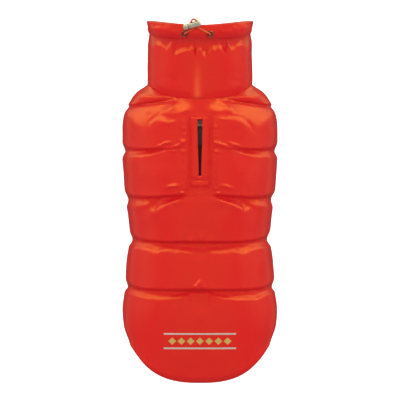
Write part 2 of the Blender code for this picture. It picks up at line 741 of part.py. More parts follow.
def lock_frame():
    """The cord lock's middle, its long direction and the direction of its bores."""
    surface, _ = casing_surface(LOCK_CENTRE[0], LOCK_CENTRE[1] - 2.0)
    middle = Vector((LOCK_CENTRE[0], LOCK_CENTRE[1], surface.z + LOCK_RADIUS + LOCK_LIFT))
    along = Vector((math.cos(LOCK_TURN), math.sin(LOCK_TURN), 0.0))
    level = Vector((-math.sin(LOCK_TURN), math.cos(LOCK_TURN), 0.0))
    bore = level * math.cos(LOCK_BORE_RISE) + Vector((0.0, 0.0, math.sin(LOCK_BORE_RISE)))
    return middle, along, bore


def turned(name, profile, centre, direction, finish, collection, steps=20):
    """A solid turned about its length. The profile lists (radius, place) in mm from front to back."""
    mesh = bpy.data.meshes.new(name)
    points = [(radius * MM, 0.0, place * MM) for radius, place in profile]
    mesh.from_pydata(points, [(k, k + 1) for k in range(len(points) - 1)], [])
    piece = bpy.data.objects.new(name, mesh)
    mesh.materials.append(finish_for(finish))
    collection.objects.link(piece)
    screw = piece.modifiers.new("turn", "SCREW")
    screw.steps = screw.render_steps = steps
    screw.use_merge_vertices = True
    screw.merge_threshold = 0.00001
    screw.use_smooth_shade = True
    piece.location = centre * MM
    piece.rotation_mode = "QUATERNION"
    piece.rotation_quaternion = Vector((0.0, 0.0, 1.0)).rotation_difference(direction)
    return piece


def make_cord_lock(collection, cutters):
    """The metal cord lock: a barrel with two cross bores, and its spring button."""
    middle, along, bore = lock_frame()
    half = LOCK_LENGTH / 2
    barrel_profile = ((0.0, half), (LOCK_RADIUS - 0.8, half), (LOCK_RADIUS, half - 0.8),
                      (LOCK_RADIUS, 0.8 - half), (LOCK_RADIUS - 0.8, -half), (0.0, -half))
    barrel = turned("cord_lock_barrel", barrel_profile, middle, along, "metal", collection)
    for side in (-1, 1):
        cutter = rod(f"lock_bore_{side}", middle + along * side * LOCK_BORE_SPACING / 2, bore, LOCK_BORE_RADIUS,
                     4 * LOCK_RADIUS, 12, "metal", cutters)
        combine(barrel, cutter, "DIFFERENCE")
    front = -half - SEAM_GAP
    back = front - BUTTON_LENGTH
    button_profile = (
        (0.0, front), (BUTTON_RADIUS * 0.62, front), (BUTTON_RADIUS * 0.93, front - 1.0),
        (BUTTON_RADIUS, front - 2.2), (BUTTON_RADIUS * 0.8, front - 4.0),
        (BUTTON_RADIUS * 0.45, back + 0.3), (0.0, back),
    )
    button = turned("cord_lock_button", button_profile, middle, along, "metal", collection)
    return barrel, button


def cord_route():
    """The drawcord's own points (mm): left eyelet, lock, loop end, lock, right eyelet."""
    middle, along, bore = lock_frame()
    route = []
    for side, name in ((-1, "left"), (1, "right")):
        surface, normal = casing_surface(*EYELETS[name])
        in_lock = middle + along * side * LOCK_BORE_SPACING / 2
        leaving = in_lock - bore * (LOCK_RADIUS + 1.2)
        half = [
            surface + normal * (SEAM_GAP + 0.1),
            surface + normal * 1.6,
            (surface + normal * 3.4).lerp(leaving, 0.22) + Vector((0.0, 0.0, 0.6)),
            (surface + normal * 3.0).lerp(leaving, 0.62) + Vector((0.0, 0.0, 0.5)),
            leaving,
            in_lock - bore * 1.5,
            in_lock + bore * 1.5,
            in_lock + bore * (LOCK_RADIUS + 0.5),
        ]
        route += half if side < 0 else [middle + bore * (LOCK_RADIUS + 2.9)] + half[::-1]
    return route


def smooth_route(points, spacing):
    """Points at an even spacing along a smooth curve through a route's own points."""
    fine = []
    ends = [points[0] * 2 - points[1]] + points + [points[-1] * 2 - points[-2]]
    for a, b, c, d in zip(ends, ends[1:], ends[2:], ends[3:]):
        for k in range(12):
            t = k / 12.0
            fine.append(0.5 * (2 * b + (c - a) * t + (2 * a - 5 * b + 4 * c - d) * t * t
                               + (3 * b - a - 3 * c + d) * t**3))
    fine.append(points[-1])
    lengths = np.concatenate([[0.0], np.cumsum([(q - p).length for p, q in zip(fine, fine[1:])])])
    count = max(2, round(lengths[-1] / spacing))
    return [
        Vector([float(np.interp(place, lengths, [point[axis] for point in fine])) for axis in range(3)])
        for place in np.linspace(0.0, lengths[-1], count + 1)
    ]


def make_drawcord(collection):
    """The drawcord where it shows, out of one eyelet, through the lock and into the other."""
    points = smooth_route(cord_route(), 1.2)
    curve = bpy.data.curves.new("drawcord", "CURVE")
    curve.dimensions = "3D"
    curve.bevel_depth = CORD_RADIUS * MM
    curve.bevel_resolution = 2
    curve.use_fill_caps = True
    spline = curve.splines.new("POLY")
    spline.points.add(len(points) - 1)
    for target, point in zip(spline.points, points):
        target.co = (*(point * MM), 1.0)
    cord = bpy.data.objects.new("drawcord", curve)
    curve.materials.append(finish_for("cord"))
    collection.objects.link(cord)
    return cord


# ---------------------------------------------------------------- assembly

def main():
    """Clear the scene and build the coat."""
    for old in list(bpy.data.objects):
        bpy.data.objects.remove(old, do_unlink=True)
    coat = collection_named("dog_winter_coat")
    cutters = collection_named("cutters")
    make_back_panel(coat, cutters)
    make_belly_panel(coat)
    make_collar(coat)
    make_casing(coat)
    make_placket(coat)
    make_zip_tape(coat)
    make_slider(coat, cutters)
    make_pull_tab(coat, cutters)
    for side, place in EYELETS.items():
        make_eyelet(side, place, coat)
    make_cord_lock(coat, cutters)
    make_drawcord(coat)


main()
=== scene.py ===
"""Looks of a small dog's padded winter coat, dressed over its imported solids.

Lengths are millimetres unless a name says otherwise, and become metres where a mesh is made.
+X is the dog's right, +Y points to its head along the back and +Z is up. The origin lies on
the coat's inner face over the withers. Every cloth piece is a wall between a plain inner
surface and a puffed, creased outer one, worked out from rounded-oval sections at an angle
from the middle of the back: 0 is the middle of the back, 90 the side and 180 the belly.
"""

from __future__ import annotations

import logging
import math
from dataclasses import dataclass
from enum import Enum
from typing import Any, Callable, Iterable, Sequence

import bmesh
import bpy
import numpy as np
from mathutils import Matrix, Vector


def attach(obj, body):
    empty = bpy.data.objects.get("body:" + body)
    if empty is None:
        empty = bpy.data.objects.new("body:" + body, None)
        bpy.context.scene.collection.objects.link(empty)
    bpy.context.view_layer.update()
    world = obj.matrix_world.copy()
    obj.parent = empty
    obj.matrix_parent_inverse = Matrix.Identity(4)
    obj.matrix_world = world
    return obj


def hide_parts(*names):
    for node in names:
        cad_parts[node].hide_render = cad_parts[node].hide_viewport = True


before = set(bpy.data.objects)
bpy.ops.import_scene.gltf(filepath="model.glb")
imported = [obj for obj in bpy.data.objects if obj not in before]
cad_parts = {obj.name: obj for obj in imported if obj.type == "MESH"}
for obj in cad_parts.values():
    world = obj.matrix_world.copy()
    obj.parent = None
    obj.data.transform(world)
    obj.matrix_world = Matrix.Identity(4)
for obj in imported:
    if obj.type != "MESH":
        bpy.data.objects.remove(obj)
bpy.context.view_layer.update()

logging.basicConfig(level=logging.INFO, format="%(levelname)s %(message)s")
log = logging.getLogger("coat")

MM = 0.001
CLOTH_UV = "cloth"
FULL_TURN = 2.0 * math.pi


# -------- node trees

def add_node(tree: bpy.types.NodeTree, kind: str, settings: dict[str, Any] | None = None,
             inputs: dict[Any, Any] | None = None) -> bpy.types.bpy_prop_collection:
    """Add a node to a tree.

    Args:
        tree: the tree.
        kind: the node's type.
        settings: its properties.
        inputs: values or sockets for its inputs, by name or index.

    Returns:
        The node's outputs.
    """
    node = tree.nodes.new(kind)
    for key, value in (settings or {}).items():
        setattr(node, key, value)
    for key, value in (inputs or {}).items():
        if isinstance(value, bpy.types.NodeSocket):
            tree.links.new(value, node.inputs[key])
        else:
            node.inputs[key].default_value = value
    return node.outputs


class Sock:
    """A shader socket that takes part in Python arithmetic."""

    def __init__(self, shade: "Shade", socket: bpy.types.NodeSocket) -> None:
        """Keep the socket and the tree builder it belongs to."""
        self.shade = shade
        self.socket = socket

    def math(self, operation: str, *values: "Sock | float") -> "Sock":
        """Add a Math node that starts with this socket.

        Args:
            operation: the Math node's operation.
            values: the other operands.

        Returns:
            The node's result.
        """
        operands = {k: value for k, value in enumerate((self, *values))}
        return self.shade.node("ShaderNodeMath", {"operation": operation}, operands)

    def __add__(self, other: "Sock | float") -> "Sock":
        """Sum."""
        return self.math("ADD", other)

    def __sub__(self, other: "Sock | float") -> "Sock":
        """Difference."""
        return self.math("SUBTRACT", other)

    def __rsub__(self, other: float) -> "Sock":
        """Difference from a number."""
        return self.math("MULTIPLY", -1.0).math("ADD", other)

    def __mul__(self, other: "Sock | float") -> "Sock":
        """Product."""
        return self.math("MULTIPLY", other)

    def __truediv__(self, other: "Sock | float") -> "Sock":
        """Quotient."""
        return self.math("DIVIDE", other)

    def __abs__(self) -> "Sock":
        """Absolute value."""
        return self.math("ABSOLUTE")

    def below(self, limit: float) -> "Sock":
        """1 where the value is under a limit, else 0."""
        return self.math("LESS_THAN", limit)

    def least(self, other: "Sock | float") -> "Sock":
        """The lesser of two values."""
        return self.math("MINIMUM", other)

    def most(self, other: "Sock | float") -> "Sock":
        """The greater of two values."""
        return self.math("MAXIMUM", other)

    def bell(self) -> "Sock":
        """A bell curve: 1 where the value is 0, and falling away on both sides."""
        return (self * self * -1.0).math("EXPONENT")

    def wave(self, turns_per_unit: float) -> "Sock":
        """A sine wave from -1 to 1."""
        return (self * turns_per_unit).math("SINE")


class Shade:
    """Builds one material's node tree."""

    def __init__(self, name: str) -> None:
        """Start a material with only its output node.

        Args:
            name: the material's name.
        """
        self.material = bpy.data.materials.new(name)
        self.material.use_nodes = True
        self.tree = self.material.node_tree
        self.tree.nodes.clear()
        self.output = self.tree.nodes.new("ShaderNodeOutputMaterial")

    def node(self, kind: str, settings: dict[str, Any] | None = None,
             inputs: dict[Any, Any] | None = None, output: int | str = 0) -> Sock:
        """Add a node.

        Args:
            kind: the node's type.
            settings: its properties.
            inputs: values or sockets for its inputs, by name or index.
            output: the output to return.

        Returns:
            That output.
        """
        places = {key: value.socket if isinstance(value, Sock) else value for key, value in (inputs or {}).items()}
        return Sock(self, add_node(self.tree, kind, settings, places)[output])

    def mix(self, factor: Sock | float, first: Any, second: Any) -> Sock:
        """Mix two colours."""
        return self.node("ShaderNodeMix", {"data_type": "RGBA"}, {0: factor, 6: first, 7: second}, 2)

    def axes(self, vector: Sock) -> tuple[Sock, Sock, Sock]:
        """Split a vector into its three numbers."""
        outputs = self.node("ShaderNodeSeparateXYZ", None, {0: vector}).socket.node.outputs
        return Sock(self, outputs[0]), Sock(self, outputs[1]), Sock(self, outputs[2])

    def object_place(self) -> Sock:
        """Object coordinates, in metres."""
        return self.node("ShaderNodeTexCoord", None, None, "Object")

    def cloth_place(self) -> Sock:
        """The cloth's own coordinates, in millimetres."""
        return self.node("ShaderNodeUVMap", {"uv_map": CLOTH_UV})

    def noise(self, place: Sock, scale: float, detail: float = 2.0, roughness: float = 0.5) -> Sock:
        """Soft noise from 0 to 1."""
        return self.node("ShaderNodeTexNoise", None,
                         {"Vector": place, "Scale": scale, "Detail": detail, "Roughness": roughness})

    def bump(self, height: Sock, strength: float, depth: float, normal: Sock | None = None) -> Sock:
        """Add a Bump node.

        Args:
            height: the relief, from 0 to 1.
            strength: the bump's strength.
            depth: the relief's depth in millimetres.
            normal: a normal that the bump starts from.

        Returns:
            The bent normal.
        """
        inputs: dict[str, Any] = {"Height": height, "Strength": strength, "Distance": depth * MM}
        if normal is not None:
            inputs["Normal"] = normal
        return self.node("ShaderNodeBump", None, inputs)

    def finish(self, inputs: dict[str, Any]) -> bpy.types.Material:
        """End the tree in a Principled shader.

        Args:
            inputs: the shader's values and sockets by name.

        Returns:
            The material.
        """
        shader = self.node("ShaderNodeBsdfPrincipled", None, inputs)
        self.tree.links.new(shader.socket, self.output.inputs["Surface"])
        return self.material


# -------- finishes

Colour = tuple[float, float, float, float]


@dataclass(frozen=True)
class Nylon:
    """Glossy woven nylon over soft padding."""

    name: str = "red_nylon"
    colour: Colour = (0.74, 0.013, 0.019, 1.0)
    worn: Colour = (0.71, 0.014, 0.021, 1.0)
    worn_scale: float = 28.0
    gloss_tint: Colour = (1.0, 0.56, 0.06, 1.0)
    gloss: float = 0.40
    roughness: float = 0.33
    roughness_spread: float = 0.08
    sheen: float = 0.03
    sheen_roughness: float = 0.4
    sheen_tint: Colour = (1.0, 0.35, 0.2, 1.0)
    thread_pitch: float = 0.42
    thread_dark: float = 0.72
    thread_share: float = 0.12
    thread_bump: float = 0.25
    thread_depth: float = 0.02
    crinkle_size: float = 3.2
    crinkle_bump: float = 0.55
    crinkle_depth: float = 0.22
    print_places: bool = False
    # Whether the painted highlight on the collar's ridge and the painted shade along the casing seam are laid on.
    painted_light: bool = False
    # Painted highlight along the collar's ridge: its place, width, reach along the coat, colour and patchiness.
    highlight_x: float = -2.6
    highlight_width: float = 3.5
    highlight_reach: tuple = (50.0, 14.0)
    highlight_colour: Colour = (0.86, 0.095, 0.036, 1.0)
    highlight_patch_scale: float = 160.0
    # Painted shade along the casing seam, where the cloth curves under: its place, width, strength and colour.
    painted_shade_y: float = 68.5
    painted_shade_width: float = 4.6
    painted_shade_share: float = 0.6
    painted_shade_colour: Colour = (0.50, 0.010, 0.026, 1.0)

    def painted_ridge_highlight(self, shade: Shade, place: Sock) -> Sock:
        """Paint a highlight along the collar's ridge: a paler, more orange band that stands in for the lights' shine on
        it.

        Args:
            shade: the material's tree builder.
            place: object coordinates.

        Returns:
            How strongly the painted highlight shows at each place.
        """
        x, y, _ = shade.axes(place)
        across = (x / MM - self.highlight_x) / self.highlight_width
        start, end = self.highlight_reach
        along = ((y / MM) * -1.0 + start) / (start - end)
        highlight_patches = shade.noise(place, self.highlight_patch_scale) * 0.5 + 0.65
        return across.bell() * along.most(0.0).least(1.0) * highlight_patches

    def weave(self, shade: Shade) -> Sock:
        """Make a plain weave.

        Args:
            shade: the material's tree builder.

        Returns:
            The weave's height, from 0 to 1.
        """
        across, along, _ = shade.axes(shade.cloth_place())
        turn = FULL_TURN / self.thread_pitch
        return across.wave(turn) * along.wave(turn) * 0.5 + 0.5

    def build(self) -> bpy.types.Material:
        """Make the material.

        Returns:
            The material.
        """
        shade = Shade(self.name)
        place = shade.object_place()
        crinkle = shade.noise(place, 1.0 / (self.crinkle_size * MM), 3.0, 0.55)
        cloud = shade.noise(place, self.worn_scale)
        colour = shade.mix(cloud, self.colour, self.worn)
        if self.painted_light:
            # Painted highlight along the collar's ridge.
            colour = shade.mix(self.painted_ridge_highlight(shade, place), colour, self.highlight_colour)
            # Painted shade: a darker band along the casing seam.
            away = (shade.axes(place)[1] / MM - self.painted_shade_y) / self.painted_shade_width
            colour = shade.mix(away.bell() * self.painted_shade_share, colour, self.painted_shade_colour)
        weave = self.weave(shade)
        dark = tuple(part * self.thread_dark for part in self.colour[:3]) + (1.0,)
        colour = shade.mix(weave * self.thread_share, colour, dark)
        fine = shade.bump(weave, self.thread_bump, self.thread_depth)
        normal = shade.bump(crinkle, self.crinkle_bump, self.crinkle_depth, fine)
        rough = cloud * self.roughness_spread + (self.roughness - self.roughness_spread / 2)
        metallic: Sock | float = 0.0
        if self.print_places:
            colour, rough, metallic = FoilPrint().cover(shade, colour, rough)
        return shade.finish({
            "Base Color": colour, "Roughness": rough, "Metallic": metallic, "Normal": normal,
            "Specular IOR Level": self.gloss, "Specular Tint": self.gloss_tint, "Sheen Weight": self.sheen,
            "Sheen Roughness": self.sheen_roughness, "Sheen Tint": self.sheen_tint,
        })


@dataclass(frozen=True)
class FoilPrint:
    """A plain foil pattern on the tail: a row of diamonds between two short bars."""

    gold: Colour = (0.90, 0.60, 0.17, 1.0)
    pale: Colour = (0.82, 0.76, 0.66, 1.0)
    roughness: float = 0.32
    metal: float = 0.55
    middle_y: float = -231.5
    pitch: float = 9.2
    diamonds: int = 7
    half_width: float = 3.9
    half_height: float = 3.6
    bar_half_length: float = 36.0
    bar_half_height: float = 0.8
    bar_rise: float = 7.2
    lowest: float = -20.0

    def masks(self, shade: Shade) -> tuple[Sock, Sock]:
        """Draw the pattern over the back.

        Args:
            shade: the material's tree builder.

        Returns:
            1 on the gold diamonds and 1 on the pale bars, else 0.
        """
        x, y, z = shade.axes(shade.object_place())
        x = x / MM
        y = y / MM - self.middle_y
        cell = ((x / self.pitch + 0.5).math("FRACT") - 0.5) * self.pitch
        diamond = (abs(cell) / self.half_width + abs(y) / self.half_height).below(1.0)
        diamond = diamond * abs(x).below(self.pitch * self.diamonds / 2)
        bar = abs(abs(y) - self.bar_rise).below(self.bar_half_height) * abs(x).below(self.bar_half_length)
        above = 1.0 - z.below(self.lowest * MM)
        return diamond * above, bar * above

    def cover(self, shade: Shade, colour: Sock, rough: Sock) -> tuple[Sock, Sock, Sock]:
        """Lay the foil over the cloth's finish.

        Args:
            shade: the material's tree builder.
            colour: the cloth's colour.
            rough: the cloth's roughness.

        Returns:
            Colour, roughness and metal with the foil on them.
        """
        diamonds, bars = self.masks(shade)
        mask = diamonds.most(bars)
        colour = shade.mix(bars, shade.mix(diamonds, colour, self.gold), self.pale)
        return colour, rough * (1.0 - mask) + mask * self.roughness, mask * self.metal


@dataclass(frozen=True)
class WovenTape:
    """Black woven zip tape and coil."""

    name: str = "zip_tape"
    colour: Colour = (0.018, 0.010, 0.010, 1.0)
    fuzz_colour: Colour = (0.05, 0.03, 0.03, 1.0)
    fuzz_scale: float = 2500.0
    roughness: float = 0.6
    roughness_spread: float = 0.15
    sheen: float = 0.2
    rib_pitch: float = 0.6
    rib_bump: float = 0.4
    rib_depth: float = 0.06

    def build(self) -> bpy.types.Material:
        """Make the material.

        Returns:
            The material.
        """
        shade = Shade(self.name)
        place = shade.object_place()
        x, y, _ = shade.axes(place)
        turn = FULL_TURN / (self.rib_pitch * MM)
        rib, cross = x.wave(turn) * 0.5 + 0.5, y.wave(turn) * 0.5 + 0.5
        fuzz = shade.noise(place, self.fuzz_scale)
        return shade.finish({
            "Base Color": shade.mix(fuzz * 0.5, self.colour, self.fuzz_colour),
            "Roughness": fuzz * self.roughness_spread + self.roughness,
            "Normal": shade.bump(rib * 0.6 + cross * 0.4, self.rib_bump, self.rib_depth),
            "Sheen Weight": self.sheen,
        })


@dataclass(frozen=True)
class PlatedMetal:
    """Bright plated metal, finely scratched and dulled in soft smudges."""

    name: str
    colour: Colour
    dull: Colour
    roughness: float
    metal: float = 1.0
    smudge_scale: float = 420.0
    smudge_roughness: float = 0.16
    scratch_scale: float = 1500.0
    scratch_stretch: tuple = (1.0, 9.0, 1.0)
    scratch_roughness: float = 0.08
    scratch_bump: float = 0.2
    scratch_depth: float = 0.02
    clean_below: float = 0.1

    def build(self) -> bpy.types.Material:
        """Make the material.

        Returns:
            The material.
        """
        shade = Shade(self.name)
        place = shade.object_place()
        smudge = shade.noise(place, self.smudge_scale, 3.0)
        stretched = shade.node("ShaderNodeMapping", None, {0: place, "Scale": self.scratch_stretch})
        scratch = shade.noise(stretched, self.scratch_scale)
        rough = smudge * self.smudge_roughness + scratch * self.scratch_roughness
        return shade.finish({
            "Base Color": shade.mix(smudge, self.colour, self.dull), "Metallic": self.metal,
            "Roughness": rough + (self.roughness - self.clean_below),
            "Normal": shade.bump(scratch, self.scratch_bump, self.scratch_depth),
        })


@dataclass(frozen=True)
class MouldedPlastic:
    """Black moulded plastic with a fine grain."""

    name: str = "black_moulding"
    colour: Colour = (0.010, 0.010, 0.011, 1.0)
    worn: Colour = (0.03, 0.028, 0.028, 1.0)
    worn_scale: float = 260.0
    worn_share: float = 0.4
    grain_scale: float = 1800.0
    grain_bump: float = 0.3
    grain_depth: float = 0.03
    roughness: float = 0.38
    roughness_spread: float = 0.15

    def build(self) -> bpy.types.Material:
        """Make the material.

        Returns:
            The material.
        """
        shade = Shade(self.name)
        place = shade.object_place()
        grain = shade.noise(place, self.grain_scale)
        worn = shade.noise(place, self.worn_scale)
        return shade.finish({
            "Base Color": shade.mix(worn * self.worn_share, self.colour, self.worn),
            "Roughness": worn * self.roughness_spread + self.roughness,
            "Normal": shade.bump(grain, self.grain_bump, self.grain_depth),
        })


@dataclass(frozen=True)
class Thread:
    """Sewing thread or braided cord, with its twist in a fine bump."""

    name: str
    colour: Colour
    light: Colour
    roughness: float
    twist: float
    roughness_spread: float = 0.1
    fuzz_scale: float = 1600.0
    twist_bump: float = 0.35
    twist_depth: float = 0.05
    sheen: float = 0.03

    def build(self) -> bpy.types.Material:
        """Make the material.

        Returns:
            The material.
        """
        shade = Shade(self.name)
        place = shade.object_place()
        x, y, z = shade.axes(place)
        strand = (x + y + z).wave(FULL_TURN / (self.twist * MM)) * 0.5 + 0.5
        fuzz = shade.noise(place, self.fuzz_scale)
        rough = fuzz * self.roughness_spread + (self.roughness - self.roughness_spread / 2)
        return shade.finish({
            "Base Color": shade.mix(strand * 0.5 + fuzz * 0.3, self.colour, self.light), "Roughness": rough,
            "Normal": shade.bump(strand, self.twist_bump, self.twist_depth), "Sheen Weight": self.sheen,
        })


class Finish(Enum):
    """The coat's finishes."""

    SHELL = Nylon()
    TAIL = Nylon(name="red_nylon_printed", print_places=True)
    # The collar and casing cloth, with a painted highlight and a painted shade band.
    COLLAR = Nylon(name="red_nylon_painted_light", painted_light=True)
    TAPE = WovenTape()
    CHROME = PlatedMetal("satin_nickel", (0.74, 0.72, 0.60, 1.0), (0.34, 0.31, 0.24, 1.0), 0.30, 0.5)
    BRASS = PlatedMetal("aged_nickel", (0.30, 0.22, 0.17, 1.0), (0.13, 0.08, 0.06, 1.0), 0.34)
    GUNMETAL = PlatedMetal("black_nickel", (0.46, 0.40, 0.36, 1.0), (0.16, 0.13, 0.12, 1.0), 0.30)
    TAB = MouldedPlastic()
    SEWING = Thread("sewing_thread", (0.50, 0.014, 0.012, 1.0), (0.74, 0.045, 0.030, 1.0), 0.5, 0.4)
    CORD = Thread("drawcord_braid", (0.55, 0.030, 0.010, 1.0), (0.86, 0.13, 0.035, 1.0), 0.6, 0.9)

    @property
    def material(self) -> bpy.types.Material:
        """The finish's material, made once."""
        return bpy.data.materials.get(self.value.name) or self.value.build()


# -------- sections and surfaces

Array = np.ndarray
SECTION_POWER = 2.2


def signed_power(value: Array, power: float) -> Array:
    """Values raised to a power, with their signs kept."""
    return np.sign(value) * np.abs(value) ** power


def unit(vectors: Array) -> Array:
    """Vectors at length 1."""
    return vectors / np.maximum(np.linalg.norm(vectors, axis=-1, keepdims=True), 1e-9)


def swell(share: Array) -> Array:
    """A soft step from 0 to 1 over a share from 0 to 1, level at both ends."""
    return 0.5 - 0.5 * np.cos(math.pi * np.clip(share, 0.0, 1.0))


def reach(distance: Array, whole: float | Array) -> Array:
    """How much of a whole length is covered, from 0 to 1."""
    return np.clip(distance / whole, 0.0, 1.0)


def bell(distance: Array, width: float) -> Array:
    """A bell curve: 1 at distance 0, and falling away on both sides."""
    return np.exp(-((distance / width) ** 2))


def eased(count: int, bunching: float) -> Array:
    """Shares from 0 to 1 that bunch at both ends."""
    t = np.linspace(0.0, 1.0, count + 1)
    return t - bunching * np.sin(FULL_TURN * t) / FULL_TURN


def across_length(points: Array, centre: int | None = None) -> Array:
    """Distance along each row of a grid.

    Args:
        points: the grid's points.
        centre: the column where the distance is 0, or none for the first one.

    Returns:
        The distance of every point.
    """
    steps = np.linalg.norm(np.diff(points, axis=1), axis=-1)
    length = np.concatenate([np.zeros((len(points), 1)), np.cumsum(steps, axis=1)], axis=1)
    return length if centre is None else length - length[:, centre:centre + 1]


def oval(angle: Array, half_width: Any, top: Any, middle: Any, under: Any) -> tuple[Array, Array]:
    """Draw a rounded oval.

    Args:
        angle: angles from the oval's top.
        half_width: half the oval's width.
        top: height of its top.
        middle: height of its widest place.
        under: height of its bottom.

    Returns:
        Points (x, z) and unit outward directions (x, z).
    """
    upright = np.where(np.cos(angle) >= 0.0, top - middle, middle - under)
    across = signed_power(np.sin(angle), 2.0 / SECTION_POWER)
    upward = signed_power(np.cos(angle), 2.0 / SECTION_POWER)
    normal = unit(np.stack([
        signed_power(across, SECTION_POWER - 1.0) / half_width,
        signed_power(upward, SECTION_POWER - 1.0) / upright,
    ], axis=-1))
    return np.stack([half_width * across, middle + upright * upward], axis=-1), normal


@dataclass(frozen=True)
class Ring:
    """A ring round the neck, with its places along Y at the side, the back and the throat."""

    side: float
    back: float
    throat: float
    bow: float
    half_width: float
    top: float
    middle: float
    under: float

    def y(self, angle: Array) -> Array:
        """Where the ring lies along Y at each angle."""
        middle = np.where(np.cos(angle) >= 0.0, self.back, self.throat)
        return self.side + (middle - self.side) * (1.0 - np.abs(np.sin(angle)) ** self.bow)

    def oval(self, angle: Array) -> tuple[Array, Array]:
        """Inner points (x, z) and outward directions at each angle."""
        return oval(angle, self.half_width, self.top, self.middle, self.under)


@dataclass(frozen=True)
class Seam:
    """A quilting seam over the back, which bows by (1 - sine ** flatness) ** peak of the angle."""

    side: float
    bow: float
    flatness: int
    peak: int
    wall: float

    def y(self, sine: Array) -> Array:
        """Where the seam lies along Y at each sine of the angle."""
        return self.side + self.bow * (1.0 - sine**self.flatness) ** self.peak


@dataclass(frozen=True)
class CoatForm:
    """The coat's inner form, its seams and its edges."""

    seam_gap: float = 0.1
    seam_wall: float = 3.0
    shoulder_ease: float = 2.4
    shoulder_side_ease: float = 2.35
    nape_reach: float = 0.58
    nape_half_angle: float = 0.32
    neck: Ring = Ring(25.4, 10.0, 8.0, 3.0, 48.9, -5.0, -42.0, -79.0)
    casing: Ring = Ring(77.0, 69.5, 66.0, 6.0, 47.7, -1.0, -37.5, -74.0)
    rim: Ring = Ring(88.5, 83.4, 78.0, 1.4, 47.4, 0.0, -36.0, -72.0)
    # Rows of (y, half width, spine, side, belly), from the chest to the tip of the tail flap.
    body: tuple = (
        (-21.0, 72.0, 3.2, -51.0, -107.0), (-42.0, 72.2, 5.2, -52.0, -109.0), (-63.0, 71.2, 6.2, -52.0, -108.0),
        (-91.0, 68.8, 5.2, -51.0, -105.0), (-108.0, 66.4, 3.8, -50.5, -103.0), (-130.0, 64.7, 2.0, -50.0, -101.0),
        (-152.0, 67.8, 1.6, -50.0, -100.0), (-178.0, 69.4, 1.8, -50.0, -100.0), (-204.0, 72.1, 0.8, -44.0, -100.0),
        (-219.0, 70.3, -1.0, -39.0, -100.0), (-233.5, 65.8, -3.2, -34.0, -100.0), (-274.0, 65.6, -12.0, -30.0, -100.0),
    )
    # The seams at the shoulder, chest, ribs, waist and hip.
    seams: tuple = (Seam(2.2, 13.0, 1, 1, 3.4), Seam(-42.8, 6.2, 1, 2, 3.0), Seam(-90.5, 5.0, 1, 2, 3.0),
                    Seam(-131.0, -3.4, 4, 1, 3.0), Seam(-179.0, -3.0, 6, 1, 3.0))
    narrowest_channel: float = 3.0
    wide_channel: float = 24.0
    # Rows of (y, angle) along the back panel's edge.
    back_edge: tuple = ((24.0, 118.0), (-142.0, 118.0), (-157.0, 115.0), (-178.0, 110.5))
    tail_half_width: float = 75.6
    tail_start: float = -204.0
    tail_length: float = 69.7
    tail_power: float = 2.6
    belly_end: float = -144.0

    def section(self, y: Array, column: int) -> Array:
        """Read a column of the body table on a smooth curve through its rows.

        Args:
            y: places along the coat.
            column: the table's column.

        Returns:
            The column's value at each place.
        """
        places = np.array([-row[0] for row in self.body])
        values = np.array([row[column] for row in self.body])
        slopes = np.gradient(values, places)
        place = np.clip(-y, places[0], places[-1])
        k = np.clip(np.searchsorted(places, place, side="right") - 1, 0, len(places) - 2)
        span = places[k + 1] - places[k]
        t = (place - places[k]) / span
        return (values[k] * (1 + 2 * t) * (1 - t) ** 2 + slopes[k] * span * t * (1 - t) ** 2
                + values[k + 1] * t * t * (3 - 2 * t) - slopes[k + 1] * span * t * t * (1 - t))

    def body_inner(self, angle: Array, y: Array) -> tuple[Array, Array]:
        """Work out the body's inner face, with the shoulders eased from the neck to the chest.

        Args:
            angle: angles from the middle of the back.
            y: places along the coat.

        Returns:
            Points and unit outward directions.
        """
        chest = self.body[0]
        point, normal = oval(angle, *[self.section(y, column) for column in (1, 2, 3, 4)])
        neck_y = self.neck.y(angle)
        ease = self.shoulder_ease + (self.shoulder_side_ease - self.shoulder_ease) * np.abs(np.sin(angle)) ** 3
        behind = reach(neck_y - y, neck_y - chest[0])
        share = 1.0 - (1.0 - behind) ** ease
        even = np.minimum(behind / self.nape_reach, 1.0) * (1.0 - (1.0 - self.nape_reach) ** ease)
        nape = bell(angle, self.nape_half_angle) * (behind < self.nape_reach)
        share = (share * (1.0 - nape) + even * nape)[..., None]
        neck_point, neck_normal = self.neck.oval(angle)
        chest_point, chest_normal = oval(angle, *chest[1:])
        front = (y > chest[0])[..., None]
        point = np.where(front, neck_point * (1 - share) + chest_point * share, point)
        normal = np.where(front, unit(neck_normal * (1 - share) + chest_normal * share), normal)
        return self.raised(point, normal, y)

    @staticmethod
    def raised(point: Array, normal: Array, y: Array) -> tuple[Array, Array]:
        """Set a section's points and directions (x, z) in space.

        Args:
            point: the section's points.
            normal: its outward directions.
            y: places along the coat.

        Returns:
            Points and directions in space.
        """
        y = np.broadcast_to(y, point.shape[:-1])
        return (np.stack([point[..., 0], y, point[..., 1]], axis=-1),
                np.stack([normal[..., 0], np.zeros_like(y), normal[..., 1]], axis=-1))

    def tube_inner(self, near: Ring, far: Ring, share: Array, angle: Array, shift: Array) -> tuple[Array, Array]:
        """Work out a neck tube's inner face between two rings.

        Args:
            near: the ring at its start.
            far: the ring at its end.
            share: shares of the way from the first to the second.
            angle: angles from the middle of the back.
            shift: how far the points are shifted along Y.

        Returns:
            Points and unit outward directions.
        """
        near_point, near_normal = near.oval(angle)
        far_point, far_normal = far.oval(angle)
        part = share[..., None]
        point = near_point * (1 - part) + far_point * part
        normal = unit(near_normal * (1 - part) + far_normal * part)
        return self.raised(point, normal, near.y(angle) * (1 - share) + far.y(angle) * share + shift)

